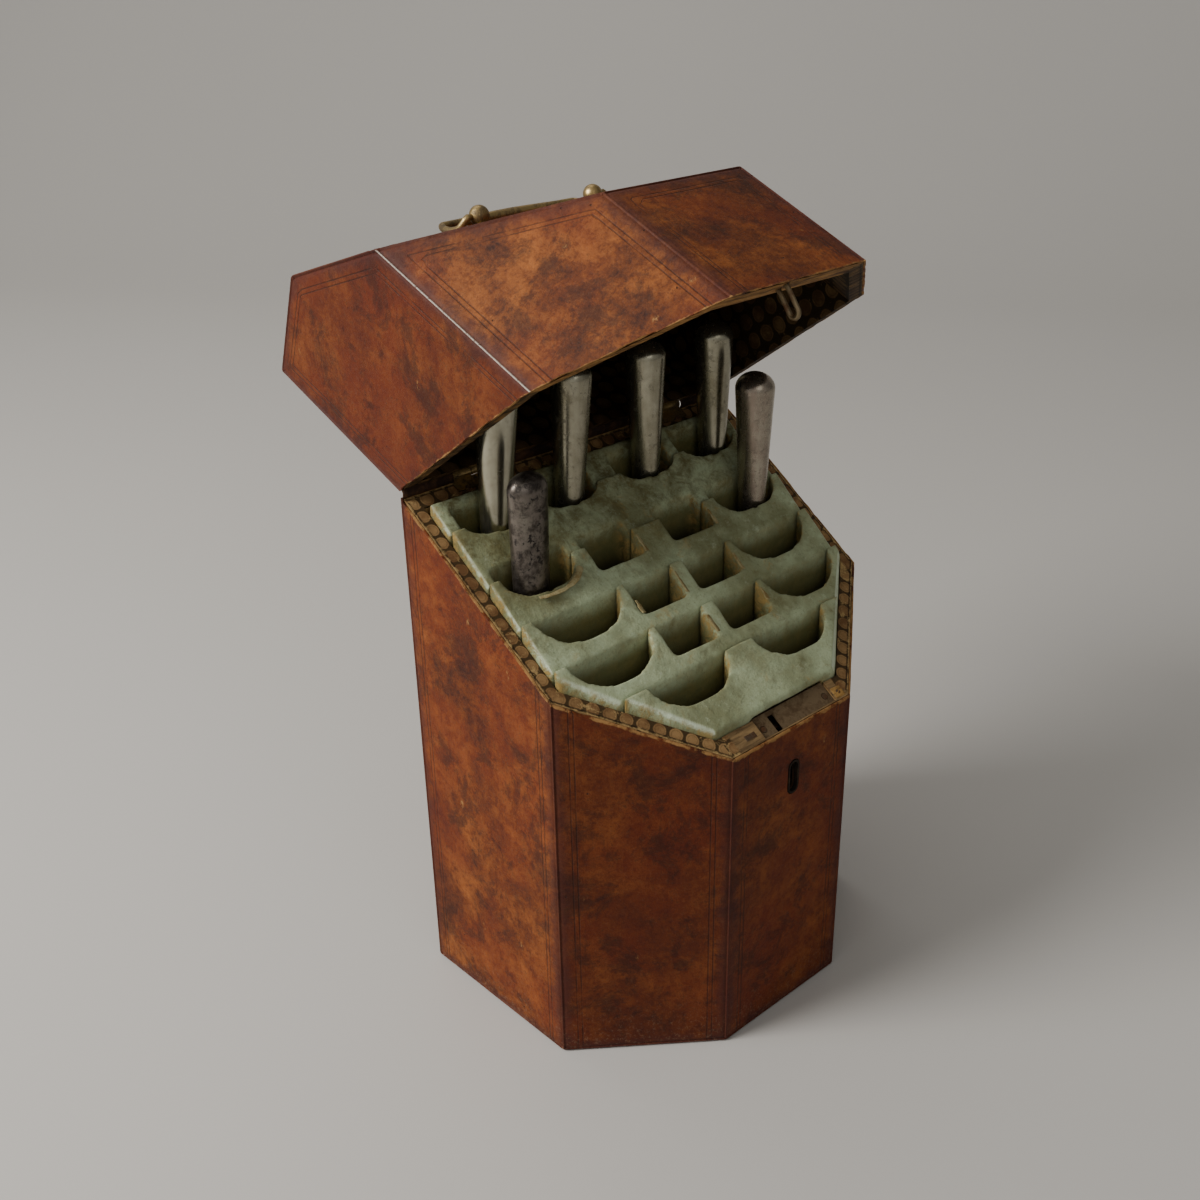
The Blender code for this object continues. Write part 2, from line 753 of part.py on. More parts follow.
def build_lock(case, brass, iron):
    mortise, void, recess = lock_cuts()
    face = -case_depth / 2
    near = lock_front()
    far = near + lock_case_depth
    boolean(case["front_board"], mortise)
    boolean(case["front_board"], recess)
    boolean(case["rim_paper"], recess)

    body = square_box(Vector((lock_left, near, lock_bottom)),
                      Vector((lock_right, far, overrun)))
    top_depth = selvage_recess + selvage_thickness + fit_gap
    slice_off(body, over_mouth(-top_depth), mouth_out)
    lock = from_bmesh(body, "lock_case", iron)
    hollow = square_box(Vector((lock_left + lock_wall, near + lock_wall,
                                lock_bottom + lock_wall)),
                        Vector((lock_right - lock_wall, far - lock_wall, overrun)))
    boolean(lock, cutter(hollow, "lock_hollow"))
    keyhole = cutter(stadium(key_x, key_height, keyhole_width, keyhole_height,
                             face - overrun, near + 2 * lock_wall), "keyhole_cut")
    boolean(lock, keyhole)

    # The bolt slides on a rail that stands out from the back of the lock case.
    bolt_right = staple_x + staple_wire / 2 + bolt_standoff + bolt_length
    bolt_centre = rim_point(bolt_right - bolt_length / 2, staple_inset, bolt_depth)
    bolt_axis = add_axis("lock_bolt_axis", bolt_centre)
    from_bmesh(tilted_box(bolt_centre, Vector((bolt_length, bolt_width, bolt_thickness))),
               "lock_bolt", iron, bolt_axis, bolt_centre)
    rail_low = bolt_depth + bolt_thickness / 2 + fit_gap
    rail_end = far - lock_wall / 2
    rail = column(box_outline(bolt_centre.x - bolt_length / 4, bolt_centre.y,
                              bolt_length * 3 / 4, rail_end - bolt_centre.y))
    slice_off(rail, over_mouth(-rail_low), mouth_out)
    slice_off(rail, over_mouth(-rail_low - lock_wall), -mouth_out)
    boolean(lock, cutter(rail, "bolt_rail"), "UNION")

    # Selvage plate in the rim, slotted for the staple.
    plate = column(box_outline(selvage_left, near, selvage_right - selvage_left,
                               selvage_depth))
    slice_off(plate, over_mouth(-selvage_recess), mouth_out)
    slice_off(plate, over_mouth(-selvage_recess - selvage_thickness), -mouth_out)
    selvage = from_bmesh(plate, "lock_selvage", iron)
    slot = tilted_box(rim_point(staple_x, staple_inset, 0),
                      Vector((staple_wire + 2 * staple_clearance,
                              staple_width + 2 * staple_clearance, 4 * staple_width)))
    boolean(selvage, cutter(slot, "staple_slot"))

    shanks = []
    for x, label in (((selvage_left + lock_left) / 2, "left"),
                     ((selvage_right + lock_right) / 2, "right")):
        top = rim_point(x, staple_inset, selvage_recess)
        turned("lock_screw_" + label, screw_profile(), iron, top, mouth_out, sides=12)
        shanks.append(rod(top - mouth_out * (screw_length + fit_gap), mouth_out,
                          screw_head_radius + fit_gap, screw_length * 2, sides=12))
    shanks = cutter(merged(shanks), "lock_screw_holes")
    boolean(selvage, shanks)
    boolean(case["front_board"], shanks)

    outer_width = keyhole_width + 2 * liner_wall
    outer_height = keyhole_height + 2 * liner_wall
    liner = from_bmesh(stadium(key_x, key_height, outer_width, outer_height,
                               face, near - fit_gap), "keyhole_liner", brass)
    boolean(liner, keyhole)
    liner_hole = cutter(stadium(key_x, key_height, outer_width + 2 * fit_gap,
                                outer_height + 2 * fit_gap, face - overrun, near),
                        "liner_hole")
    boolean(case["front_board"], liner_hole)
    boolean(case["case_leather"], liner_hole)
    return void


def wire(name, points, radius, surface, parent, radii=None, sides=2):
    # A round wire through the points, with welded ends.
    curve = bpy.data.curves.new(name, "CURVE")
    curve.dimensions = "3D"
    curve.bevel_depth = radius
    curve.bevel_resolution = sides
    curve.use_fill_caps = True
    line = curve.splines.new("POLY")
    line.points.add(len(points) - 1)
    for index, (point, place) in enumerate(zip(line.points, points)):
        point.co = (*place, 1)
        point.radius = radii[index] if radii else 1
    draft = bpy.data.objects.new(name + "_draft", curve)
    cutters.objects.link(draft)
    graph = bpy.context.evaluated_depsgraph_get()
    mesh = bpy.data.meshes.new_from_object(draft.evaluated_get(graph))
    bpy.data.objects.remove(draft, do_unlink=True)
    bm = bmesh.new()
    bm.from_mesh(mesh)
    bpy.data.meshes.remove(mesh)
    bmesh.ops.remove_doubles(bm, verts=bm.verts, dist=0.01 * mm)
    piece = from_bmesh(bm, name, surface, parent, parent_origin[parent.name])
    smooth(piece)
    return piece


def build_staple(iron, lid_parts, lid_axis):
    # A loop whose plane is square to the front wall, so that the bolt passes through.
    half = (staple_width - staple_wire) / 2
    bend = staple_length - staple_wire / 2 - half
    points = []
    steps = 8
    for side in (-1, 1):
        rim = rim_point(staple_x, staple_inset + side * half, -lid_gap)
        points_side = [rim + up * staple_shank, rim]
        for step in range(steps + 1):
            angle = math.pi / 2 * step / steps
            across = half * math.cos(angle)
            down = bend + half * math.sin(angle) - lid_gap
            points_side.append(rim_point(staple_x, staple_inset + side * across, down))
        points += points_side if side < 0 else list(reversed(points_side))[1:]
    wire("staple", points, staple_wire / 2, iron, lid_axis)
    holes = []
    for side in (-1, 1):
        rim = rim_point(staple_x, staple_inset + side * half, -lid_gap)
        holes.append(rod(rim - up * staple_wire, up, staple_wire / 2 + fit_gap,
                         staple_shank + staple_wire + fit_gap, sides=12))
    holes = cutter(merged(holes), "staple_holes", lid_axis)
    boolean(lid_parts["lid_front_board"], holes)
    boolean(lid_parts["lid_lining"], holes)


# Lid

def build_lid(wood, hide, disc_paper, lid_axis):
    made = {}
    mouth = lid_gap
    board_bottom = mouth + paper + fit_gap
    roof_outer = skin
    roof_inner = skin + lid_board
    wall_roof = roof_inner + fit_gap
    pivot = parent_origin[lid_axis.name]
    for name, quad in zip(lid_names, wall_quads(lid_walls)):
        bm = lid_block(quad, board_bottom, wall_roof)
        made[name] = from_bmesh(bm, name, wood, lid_axis, pivot)

    # The two roof boards meet on the plane that halves their angle.
    ridge = Vector((0, ridge_y, lid_top))
    halving = (panel_out + up).normalized().cross(right)
    if halving.y < 0:
        halving = -halving
    slope = column(plan(skin))
    slice_off(slope, under_panel(roof_outer), panel_out)
    slice_off(slope, under_panel(roof_inner), -panel_out)
    slice_off(slope, ridge - halving * fit_gap / 2, halving)
    made["lid_slope_board"] = from_bmesh(slope, "lid_slope_board", wood, lid_axis, pivot)
    flat = column(plan(skin), lid_top - roof_inner, lid_top - roof_outer)
    slice_off(flat, ridge + halving * fit_gap / 2, -halving)
    made["lid_top_board"] = from_bmesh(flat, "lid_top_board", wood, lid_axis, pivot)

    outer = round_edges(lid_block(plan(0), mouth, 0), over_mouth(mouth), leather_round)
    shell = from_bmesh(outer, "lid_leather", hide, lid_axis, pivot)
    smooth(shell)
    hollow = lid_block(plan(leather), -overrun / 4, leather)
    boolean(shell, cutter(hollow, "lid_leather_inside", lid_axis))
    made["lid_leather"] = shell

    # Lining paper: a shell inside the boards, turned out over their rim.
    inner_plan = inset_outline(plan(skin), [board + fit_gap for board in lid_walls])
    lining_roof = roof_inner + fit_gap
    bag = lid_block(inner_plan, mouth, lining_roof + fit_gap)
    lining = from_bmesh(bag, "lid_lining", disc_paper, lid_axis, pivot)
    rim = slice_off(column(plan(skin)), over_mouth(mouth + paper), mouth_out)
    slice_off(rim, over_mouth(mouth), -mouth_out)
    boolean(lining, cutter(rim, "lid_rim", lid_axis), "UNION")
    within = inset_outline(inner_plan, [paper] * len(inner_plan))
    inside = lid_block(within, -overrun / 4, lining_roof + fit_gap + paper)
    boolean(lining, cutter(inside, "lid_inside", lid_axis))
    made["lid_lining"] = lining
    return made


# Hinges

def hinge_leaf_solid(name, x, on_lid, surface, parent):
    # A flat leaf in the rim joined to its knuckles, bored for the pin.
    middle = hinge_point + right * x
    sign = 1 if on_lid else -1
    depth = lid_gap / 2 + hinge_leaf / 2
    reach = pin_setback + hinge_reach / math.cos(mouth_slope)
    centre = middle - mouth_along * reach / 2 + mouth_out * sign * depth
    leaf = tilted_box(centre, Vector((hinge_length, reach, hinge_leaf)))
    piece = from_bmesh(leaf, name, surface, parent,
                       parent_origin[parent.name] if parent else middle)
    third = hinge_length / 3
    if on_lid:
        spans = [(-third / 2 + fit_gap / 2, third - fit_gap)]
        clear = [(-hinge_length, hinge_length - third / 2 - fit_gap / 2),
                 (third / 2 + fit_gap / 2, hinge_length)]
    else:
        spans = [(-hinge_length / 2, third - fit_gap / 2),
                 (third / 2 + fit_gap / 2, third - fit_gap / 2)]
        clear = [(-third / 2 - fit_gap / 2, third + fit_gap)]
    tubes = merged([rod(middle + right * start, right, knuckle_radius, length)
                    for start, length in spans])
    boolean(piece, cutter(tubes, name + "_knuckles", parent), "UNION")
    spaces = merged([rod(middle + right * start, right, knuckle_radius + fit_gap, length)
                     for start, length in clear])
    boolean(piece, cutter(spaces, name + "_spaces", parent))
    bore = rod(middle - right * hinge_length, right, pin_radius + fit_gap, 2 * hinge_length)
    boolean(piece, cutter(merged([bore]), name + "_bore", parent))
    return piece


def build_hinges(case, lid_parts, brass, iron, lid_axis):
    reach = hinge_reach / math.cos(mouth_slope)
    for side, label in ((-1, "left"), (1, "right")):
        x = side * hinge_spacing / 2
        middle = hinge_point + right * x
        case_leaf = hinge_leaf_solid("hinge_case_leaf_" + label, x, False, brass, None)
        lid_leaf = hinge_leaf_solid("hinge_lid_leaf_" + label, x, True, brass, lid_axis)
        pin = rod(middle - right * hinge_length / 2, right, pin_radius, hinge_length)
        from_bmesh(merged([pin]), "hinge_pin_" + label, iron)

        # Recesses for the leaf and its knuckles, in the case and in the lid.
        clear_size = Vector((hinge_length + 2 * fit_gap, reach + pin_setback + fit_gap,
                             hinge_leaf * 2))
        for sign, group, parent in ((-1, case, None), (1, lid_parts, lid_axis)):
            centre = middle - mouth_along * (clear_size.y / 2)
            centre += mouth_out * sign * (lid_gap / 2 + hinge_leaf + fit_gap - clear_size.z / 2)
            name = "hinge_%s_%s" % (label, "lid" if sign > 0 else "case")
            recess = cutter(tilted_box(centre, clear_size), name + "_recess", parent)
            tube = rod(middle - right * (hinge_length / 2 + fit_gap), right,
                       knuckle_radius + fit_gap, hinge_length + 2 * fit_gap)
            around = cutter(merged([tube]), name + "_barrel", parent)
            keys = (["lid_back_board", "lid_leather", "lid_lining"] if sign > 0
                    else ["back_board", "case_leather", "rim_paper"])
            for key in keys:
                boolean(group[key], recess)
                boolean(group[key], around)


# Bail handle

def panel_point(x, up_slope, height):
    return right * x + panel_front + panel_along * up_slope + panel_out * height


def build_bail(brass, lid_parts, lid_axis):
    pivot_place = panel_point(0, bail_up_slope, bail_pivot_height)
    bail_axis = add_axis("bail_axis", pivot_place, lid_axis)
    half = bail_span / 2

    # Each post: ball, neck, rose and a shank into the slope board.
    shank_foot = -(skin + lid_board * post_sink_share)
    ball = post_ball_radius
    profile = [(0, bail_pivot_height + ball)]
    steps = 8
    neck_angle = math.asin(post_neck_radius / ball)
    for step in range(1, steps + 1):
        angle = (math.pi - neck_angle) * step / steps
        profile.append((ball * math.sin(angle), bail_pivot_height + ball * math.cos(angle)))
    profile += [(post_rose_radius, post_rose), (post_rose_radius, fit_gap),
                (post_shank_radius, fit_gap), (post_shank_radius, shank_foot), (0, shank_foot)]
    profile.insert(-5, (post_neck_radius, post_rose))
    sockets = []
    for side, label in ((-1, "left"), (1, "right")):
        foot = panel_point(side * half, bail_up_slope, 0)
        post = turned("bail_post_" + label, profile, brass, foot, panel_out, lid_axis,
                      sides=16)
        bore = rod(panel_point(side * (half + ball - post_bore_depth), bail_up_slope,
                               bail_pivot_height),
                   right * side, bail_end_radius + fit_gap, ball * 2, sides=12)
        boolean(post, cutter(merged([bore]), "post_bore_" + label, lid_axis))
        sockets.append(rod(foot + panel_out * leather * 2, -panel_out,
                           post_shank_radius + fit_gap,
                           leather * 2 - shank_foot + fit_gap, sides=12))
    sockets = cutter(merged(sockets), "post_sockets", lid_axis)
    boolean(lid_parts["lid_leather"], sockets)
    boolean(lid_parts["lid_slope_board"], sockets)

    # Half of the bail: the pin in the ball, a heel that dips to rest on the panel,
    # the shoulder, and the grip that swells to its middle.
    outer = half + ball + bail_flare
    start = half + ball - post_bore_depth + fit_gap
    clear = half + ball + bail_wire / 4
    dip = bail_pivot_height - bail_wire / 2 - fit_gap
    path = [(start, 0, 0), (clear, 0, 0)]
    steps = 6
    for step in range(1, steps + 1):
        angle = math.pi / 2 * step / steps
        path.append((clear + (outer - clear) * math.sin(angle),
                     bail_heel * (1 - math.cos(angle)), dip * math.sin(angle) ** 2))
    for step in range(1, steps + 1):
        angle = math.pi / 2 * step / steps
        path.append((outer - bail_flare * (1 - math.cos(angle)),
                     bail_heel + (bail_reach - bail_heel) * math.sin(angle),
                     dip * math.cos(angle) ** 2))
    path.append((half / 2, bail_reach + bail_bow * 3 / 4, 0))
    path.append((0, bail_reach + bail_bow, 0))
    slim = 2 * bail_end_radius / bail_wire
    radii = [slim, slim] + [1] * (len(path) - 4) + [(1 + bail_swell_share) / 2, bail_swell_share]
    whole = [(-x, y, drop) for x, y, drop in path] + list(reversed(path))[1:]
    radii = radii + list(reversed(radii))[1:]
    points = [panel_point(x, bail_up_slope + y, bail_pivot_height - drop)
              for x, y, drop in whole]
    wire("bail", points, bail_wire / 2, brass, bail_axis, radii)


clear_scene()
parts = new_collection("cutlery_case")
cutters = new_collection("cutters")
parent_origin = {}

calf = material("calf_leather", (0.21, 0.07, 0.03), 0.5, 0)
deal = material("deal_board", (0.45, 0.3, 0.16), 0.8, 0)
disc_paper = material("printed_paper", (0.2, 0.12, 0.06), 0.8, 0)
sage = material("sage_paper", (0.3, 0.36, 0.25), 0.9, 0)
baize = material("base_paper", (0.12, 0.13, 0.09), 0.95, 0)
brass = material("old_brass", (0.5, 0.38, 0.18), 0.4, 1)
iron = material("dark_iron", (0.12, 0.11, 0.1), 0.55, 1)
silver = material("worn_silver", (0.6, 0.57, 0.48), 0.3, 1)
tarnished = material("tarnished_silver", (0.25, 0.22, 0.2), 0.45, 1)
steel = material("blade_steel", (0.5, 0.5, 0.5), 0.35, 1)

lid_axis = add_axis("lid_axis", hinge_point)
case_parts = build_case(deal, calf, disc_paper, baize)
lid_parts = build_lid(deal, calf, disc_paper, lid_axis)
build_hinges(case_parts, lid_parts, brass, iron, lid_axis)
lock_void = build_lock(case_parts, brass, iron)
build_staple(iron, lid_parts, lid_axis)
build_tray(sage, deal, lock_void)
build_knives(silver, tarnished, steel)
build_bail(brass, lid_parts, lid_axis)
lid_axis.rotation_euler.x = -lid_open_angle
bpy.context.view_layer.update()
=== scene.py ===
import json
from functools import partial
from math import asin, atan2, copysign, cos, pi, radians, sin, sqrt, tan

import bmesh
import bpy
from mathutils import Matrix, Vector, noise
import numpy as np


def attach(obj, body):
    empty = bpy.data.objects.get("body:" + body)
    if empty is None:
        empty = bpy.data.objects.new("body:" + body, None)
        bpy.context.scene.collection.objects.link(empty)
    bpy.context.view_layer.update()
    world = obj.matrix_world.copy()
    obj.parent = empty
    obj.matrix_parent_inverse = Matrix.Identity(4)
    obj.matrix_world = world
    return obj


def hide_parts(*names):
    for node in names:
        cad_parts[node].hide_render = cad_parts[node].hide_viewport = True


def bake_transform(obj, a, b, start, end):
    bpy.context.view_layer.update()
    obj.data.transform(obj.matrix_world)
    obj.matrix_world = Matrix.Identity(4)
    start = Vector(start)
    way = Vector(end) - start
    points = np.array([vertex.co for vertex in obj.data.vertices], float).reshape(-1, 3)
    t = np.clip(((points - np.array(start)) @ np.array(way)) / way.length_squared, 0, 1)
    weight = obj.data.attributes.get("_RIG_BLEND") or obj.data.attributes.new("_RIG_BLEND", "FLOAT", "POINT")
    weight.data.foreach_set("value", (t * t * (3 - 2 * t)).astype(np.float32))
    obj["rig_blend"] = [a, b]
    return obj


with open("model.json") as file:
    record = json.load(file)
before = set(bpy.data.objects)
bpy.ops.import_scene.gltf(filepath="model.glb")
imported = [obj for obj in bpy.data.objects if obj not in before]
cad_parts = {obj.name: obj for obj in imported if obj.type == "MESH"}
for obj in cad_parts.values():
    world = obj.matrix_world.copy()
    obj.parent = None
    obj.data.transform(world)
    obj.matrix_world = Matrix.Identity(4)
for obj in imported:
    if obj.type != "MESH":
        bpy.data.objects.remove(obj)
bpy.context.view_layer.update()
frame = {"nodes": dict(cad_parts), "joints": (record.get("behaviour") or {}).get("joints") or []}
nodes = frame["nodes"]
mm = 0.001
right, deeper, up = Vector((1, 0, 0)), Vector((0, 1, 0)), Vector((0, 0, 1))
print("frame loaded:", len(nodes), "nodes")


# Shapes that everything is measured from

def lengths(**sizes):  # given in mm
    return {name: size * mm for name, size in sizes.items()}


caseForm = lengths(width=200, depth=149, cantWidth=60.5, cantDepth=50,  # over the leather
                   backHeight=257, frontHeight=161, lidFrontWall=77.5, lidBackWall=95.5,
                   lidFlat=52, lidGap=0.5, skin=1.5)
caseForm |= dict(openAngle=69.5)  # degrees from closed
uprights = ["back", "left", "leftCant", "front", "rightCant", "right"]


def slopeAxes(slope):  # along a slope that rises to the back, and out of it
    return Vector((0, cos(slope), sin(slope))), Vector((0, -sin(slope), cos(slope)))


halfWide = caseForm["width"] / 2
halfDeep = caseForm["depth"] / 2
mouthSlope = atan2(caseForm["backHeight"] - caseForm["frontHeight"], caseForm["depth"])
mouthAlong, mouthOut = slopeAxes(mouthSlope)
mouthFront = Vector((0, -halfDeep, caseForm["frontHeight"]))
lidTop = caseForm["backHeight"] + caseForm["lidBackWall"]
lidFrontTop = caseForm["frontHeight"] + caseForm["lidFrontWall"]
panelDeep = caseForm["depth"] - caseForm["lidFlat"]
panelSlope = atan2(lidTop - lidFrontTop, panelDeep)
panelAlong, panelOut = slopeAxes(panelSlope)
panelFront = Vector((0, -halfDeep, lidFrontTop))

lidPivot = Vector(next(joint["pos_m"] for joint in frame["joints"]
                       if joint["name"] == "lid_hinge"))
lidTurn = Matrix.Rotation(-radians(caseForm["openAngle"]), 4, "X")
lidOpen = Matrix.Translation(lidPivot) @ lidTurn @ Matrix.Translation(-lidPivot)
lidClosed = lidOpen.inverted()


def onRim(x, inset):  # a place on the front of the mouth
    return right * x + mouthFront + mouthAlong * inset


def heightAt(y):  # the mouth's height over the table
    return caseForm["frontHeight"] + (y + halfDeep) * tan(mouthSlope)


def wallPlanes():  # name, outward normal, a point on it
    frontX = halfWide - caseForm["cantWidth"]
    cantY = caseForm["cantDepth"] - halfDeep
    corners = [Vector(corner) for corner in (
        (halfWide, halfDeep, 0), (-halfWide, halfDeep, 0), (-halfWide, cantY, 0),
        (-frontX, -halfDeep, 0), (frontX, -halfDeep, 0), (halfWide, cantY, 0))]
    found = []
    for name, start, end in zip(uprights, corners, corners[1:] + corners[:1]):
        run = (end - start).normalized()
        found.append((name, Vector((run.y, -run.x, 0)), start))
    return found


casePlanes = wallPlanes() + [("bottom", -up, Vector())]
lidPlanes = wallPlanes() + [("slope", panelOut, panelFront), ("top", up, Vector((0, 0, lidTop)))]


def under(place, planes):  # how deep a place lies behind each plane
    return [((point - place).dot(normal), name, normal) for name, normal, point in planes]


def quarterTurn(steps):  # sine and cosine of even steps up to a right angle
    angles = [pi / 2 * step / steps for step in range(1, steps + 1)]
    return [(sin(angle), cos(angle)) for angle in angles]


# Shader maths

class Wire:
    def __init__(self, home, socket):
        self.home = home
        self.socket = socket

    def sum(self, operation, *others, clamp=False):
        return self.home.node("Math", {"operation": operation, "use_clamp": clamp},
                              dict(enumerate((self,) + others)))

    def __add__(self, other):
        return self.sum("ADD", other)

    __radd__ = __add__

    def __mul__(self, other):
        return self.sum("MULTIPLY", other)

    __rmul__ = __mul__

    def __sub__(self, other):
        return self.sum("SUBTRACT", other)

    def __rsub__(self, other):
        return self.home.node("Math", {"operation": "SUBTRACT"}, {0: other, 1: self})

    def __truediv__(self, other):
        return self.sum("DIVIDE", other)

    def __pow__(self, other):
        return self.sum("POWER", other)

    def __abs__(self):
        return self.sum("ABSOLUTE")

    def limited(self):
        return self.sum("ADD", 0.0, clamp=True)

    def rise(self, low, high):  # 0 below low, 1 above high, smooth between
        return self.home.node("MapRange", {"interpolation_type": "SMOOTHSTEP"},
                              {"Value": self, "From Min": low, "From Max": high})

    def fall(self, low, high):
        return 1 - self.rise(low, high)


class Nodes:
    def __init__(self, tree):
        self.tree = tree

    def feed(self, socket, value):
        if isinstance(value, Wire):
            self.tree.links.new(value.socket, socket)
        elif socket.type == "RGBA":
            socket.default_value = (*value, 1)
        else:
            socket.default_value = value

    def node(self, kind, settings, values, output=0):
        made = self.tree.nodes.new("ShaderNode" + kind)
        for key, value in settings.items():
            setattr(made, key, value)
        for key, value in values.items():
            self.feed(made.inputs[key], value)
        return Wire(self, made.outputs[output])

    def split(self, vector):
        made = self.node("SeparateXYZ", {}, {"Vector": vector})
        return [Wire(self, output) for output in made.socket.node.outputs]

    def mix(self, share, below, above, blend="MIX"):
        return self.node("Mix", {"data_type": "RGBA", "blend_type": blend},
                         {0: share, 6: below, 7: above}, 2)

    def ramp(self, value, *stops):
        made = self.node("ValToRGB", {}, {"Fac": value})
        marks = made.socket.node.color_ramp.elements
        while len(marks) < len(stops):
            marks.new(1)
        for mark, (place, colour) in zip(marks, stops):
            mark.position, mark.color = place, (*colour, 1)
        return made


class Finish(Nodes):
    def __init__(self, name, specular=0.5):
        self.material = bpy.data.materials.new(name)
        self.material.use_nodes = True
        super().__init__(self.material.node_tree)
        self.tree.nodes.clear()
        self.shader = self.tree.nodes.new("ShaderNodeBsdfPrincipled")
        self.shader.inputs["Specular IOR Level"].default_value = specular
        output = self.tree.nodes.new("ShaderNodeOutputMaterial")
        self.tree.links.new(self.shader.outputs[0], output.inputs[0])
        self.where = self.node("TexCoord", {}, {}, "Object")
        self.colour = None

    def noise(self, size, detail=4, rough=0.55, where=None, lump=0.0):  # size in mm
        return self.node("TexNoise", {}, {"Vector": where or self.where, "Scale": 1 / (size * mm),
                                          "Detail": detail, "Roughness": rough,
                                          "Distortion": lump})

    def cells(self, size, where):
        return self.node("TexVoronoi", {}, {"Vector": where, "Scale": 1 / (size * mm)}, "Distance")

    def stretched(self, *shares):
        return self.node("VectorMath", {"operation": "MULTIPLY"}, {0: self.where, 1: shares})

    def shifted(self, step):
        return self.node("VectorMath", {"operation": "ADD"}, {0: self.where, 1: (step,) * 3})

    def layer(self, name, output="Fac"):
        return self.node("Attribute", {"attribute_name": name}, {}, output)

    def lay(self, share, colour, blend="MIX"):  # over the colours laid so far
        self.colour = self.mix(share, self.colour, colour, blend)

    def paint(self, rough, height=None, depth=0, metal=None):
        bump = height and self.node("Bump", {}, {"Height": height, "Distance": depth})
        for name, value in (("Base Color", self.colour), ("Roughness", rough),
                            ("Metallic", metal), ("Normal", bump)):
            if value is not None:
                self.feed(self.shader.inputs[name], value)
        return self.material


# Mesh helpers

def placed(name, data):
    thing = bpy.data.objects.new(name, data)
    bpy.context.scene.collection.objects.link(thing)
    return thing


def meshFrom(name, bm):
    mesh = bpy.data.meshes.new(name)
    bm.to_mesh(mesh)
    bm.free()
    return mesh


def dressed(piece, material, body, replaced):
    piece.data.materials.clear()
    piece.data.materials.append(material)
    piece.data.shade_smooth()
    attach(piece, body)
    if replaced:
        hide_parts(*replaced)
    return piece


def newPiece(name, bm, material, body, replaced, angle):
    piece = dressed(placed(name, meshFrom(name, bm)), material, body, replaced)
    if angle < 180:
        crispen(piece.data, radians(angle))
    return piece


def crispen(mesh, limit):  # edges sharper than the limit stay crisp
    bm = bmesh.new()
    bm.from_mesh(mesh)
    for edge in bm.edges:
        edge.smooth = len(edge.link_faces) == 2 and edge.calc_face_angle(0) < limit
    bm.to_mesh(mesh)
    bm.free()


def copyOf(node, flat):
    bm = bmesh.new()
    bm.from_mesh(nodes[node].data)
    for layer in list(bm.loops.layers.uv):
        bm.loops.layers.uv.remove(layer)
    bmesh.ops.remove_doubles(bm, verts=bm.verts, dist=0.005 * mm)
    if flat:  # without the lines between flat faces
        bmesh.ops.dissolve_limit(bm, angle_limit=radians(0.5), verts=bm.verts,
                                 edges=bm.edges)
    return bm


def layers(parts, *names):  # numbers that a mesh's points, faces or corners carry
    return [parts.layers.float.new(name) for name in names]


def cutAt(bm, point, normal):
    parts = bm.verts[:] + bm.edges[:] + bm.faces[:]
    bmesh.ops.bisect_plane(bm, geom=parts, plane_co=point, plane_no=normal, dist=0.02 * mm)


def sliceUp(bm, direction, step, low, high):  # cuts faces along evenly spaced planes
    place = low + step / 2
    while place < high:
        cutAt(bm, direction * place, direction)
        place += step


def sliceBox(bm, grid, upGrid, top):
    sliceUp(bm, right, grid, -halfWide, halfWide)
    sliceUp(bm, deeper, grid, -halfDeep, halfDeep)
    sliceUp(bm, up, upGrid, 0, top)


def modified(piece, kind, **settings):  # runs one modifier and keeps its result
    modifier = piece.modifiers.new(kind, kind)
    for key, value in settings.items():
        setattr(modifier, key, value)
    bpy.context.view_layer.update()
    graph = bpy.context.evaluated_depsgraph_get()
    mesh = bpy.data.meshes.new_from_object(piece.evaluated_get(graph))
    piece.modifiers.clear()
    old = piece.data
    piece.data = mesh
    bpy.data.meshes.remove(old)


def bumpAt(place, size, seed):  # smooth noise between -1 and 1, size in mm
    return noise.noise(place / (size * mm) + Vector((seed * 7.3, seed * 3.1, seed)))


def ringAt(bm, centre, first, second, radius, sides):
    angles = [2 * pi * k / sides for k in range(sides)]
    return [bm.verts.new(centre + (first * cos(angle) + second * sin(angle)) * radius)
            for angle in angles]


def joinRings(bm, rings):  # a ring of one point makes a tip
    for above, below in zip(rings, rings[1:]):
        sides = max(len(above), len(below))
        for k in range(sides):
            n = (k + 1) % sides
            corners = (above[k % len(above)], below[k % len(below)],
                       below[n % len(below)], above[n % len(above)])
            bm.faces.new(list(dict.fromkeys(corners)))


def turnedForm(profile, sides):  # radius and height, from the top down
    bm = bmesh.new()
    joinRings(bm, [ringAt(bm, up * height, right, deeper, radius, sides if radius else 1)
                   for radius, height in profile])
    bmesh.ops.recalc_face_normals(bm, faces=bm.faces)
    return bm


def tube(points, radii, sides):  # a round wire through the points, closed ends
    bm = bmesh.new()
    rings = []
    side = None
    for index, point in enumerate(points):
        before = points[max(index - 1, 0)]
        after = points[min(index + 1, len(points) - 1)]
        run = (after - before).normalized()
        side = side or run.orthogonal().normalized()
        side = (side - run * side.dot(run)).normalized()
        rings.append(ringAt(bm, point, side, run.cross(side), radii[index], sides))
    joinRings(bm, rings)
    for ring in (rings[0], rings[-1]):
        bm.faces.new(ring)
    bmesh.ops.recalc_face_normals(bm, faces=bm.faces)
    return bm


def pointGrid(bm, rows, columns, place):  # points at shares of a grid's two sides
    return [[bm.verts.new(place(r / rows, c / columns)) for c in range(columns + 1)]
            for r in range(rows + 1)]


def cover(bm, lines):  # faces between each line of points and the next
    for before, after in zip(lines, lines[1:]):
        for k in range(len(before) - 1):
            bm.faces.new((before[k], before[k + 1], after[k + 1], after[k]))


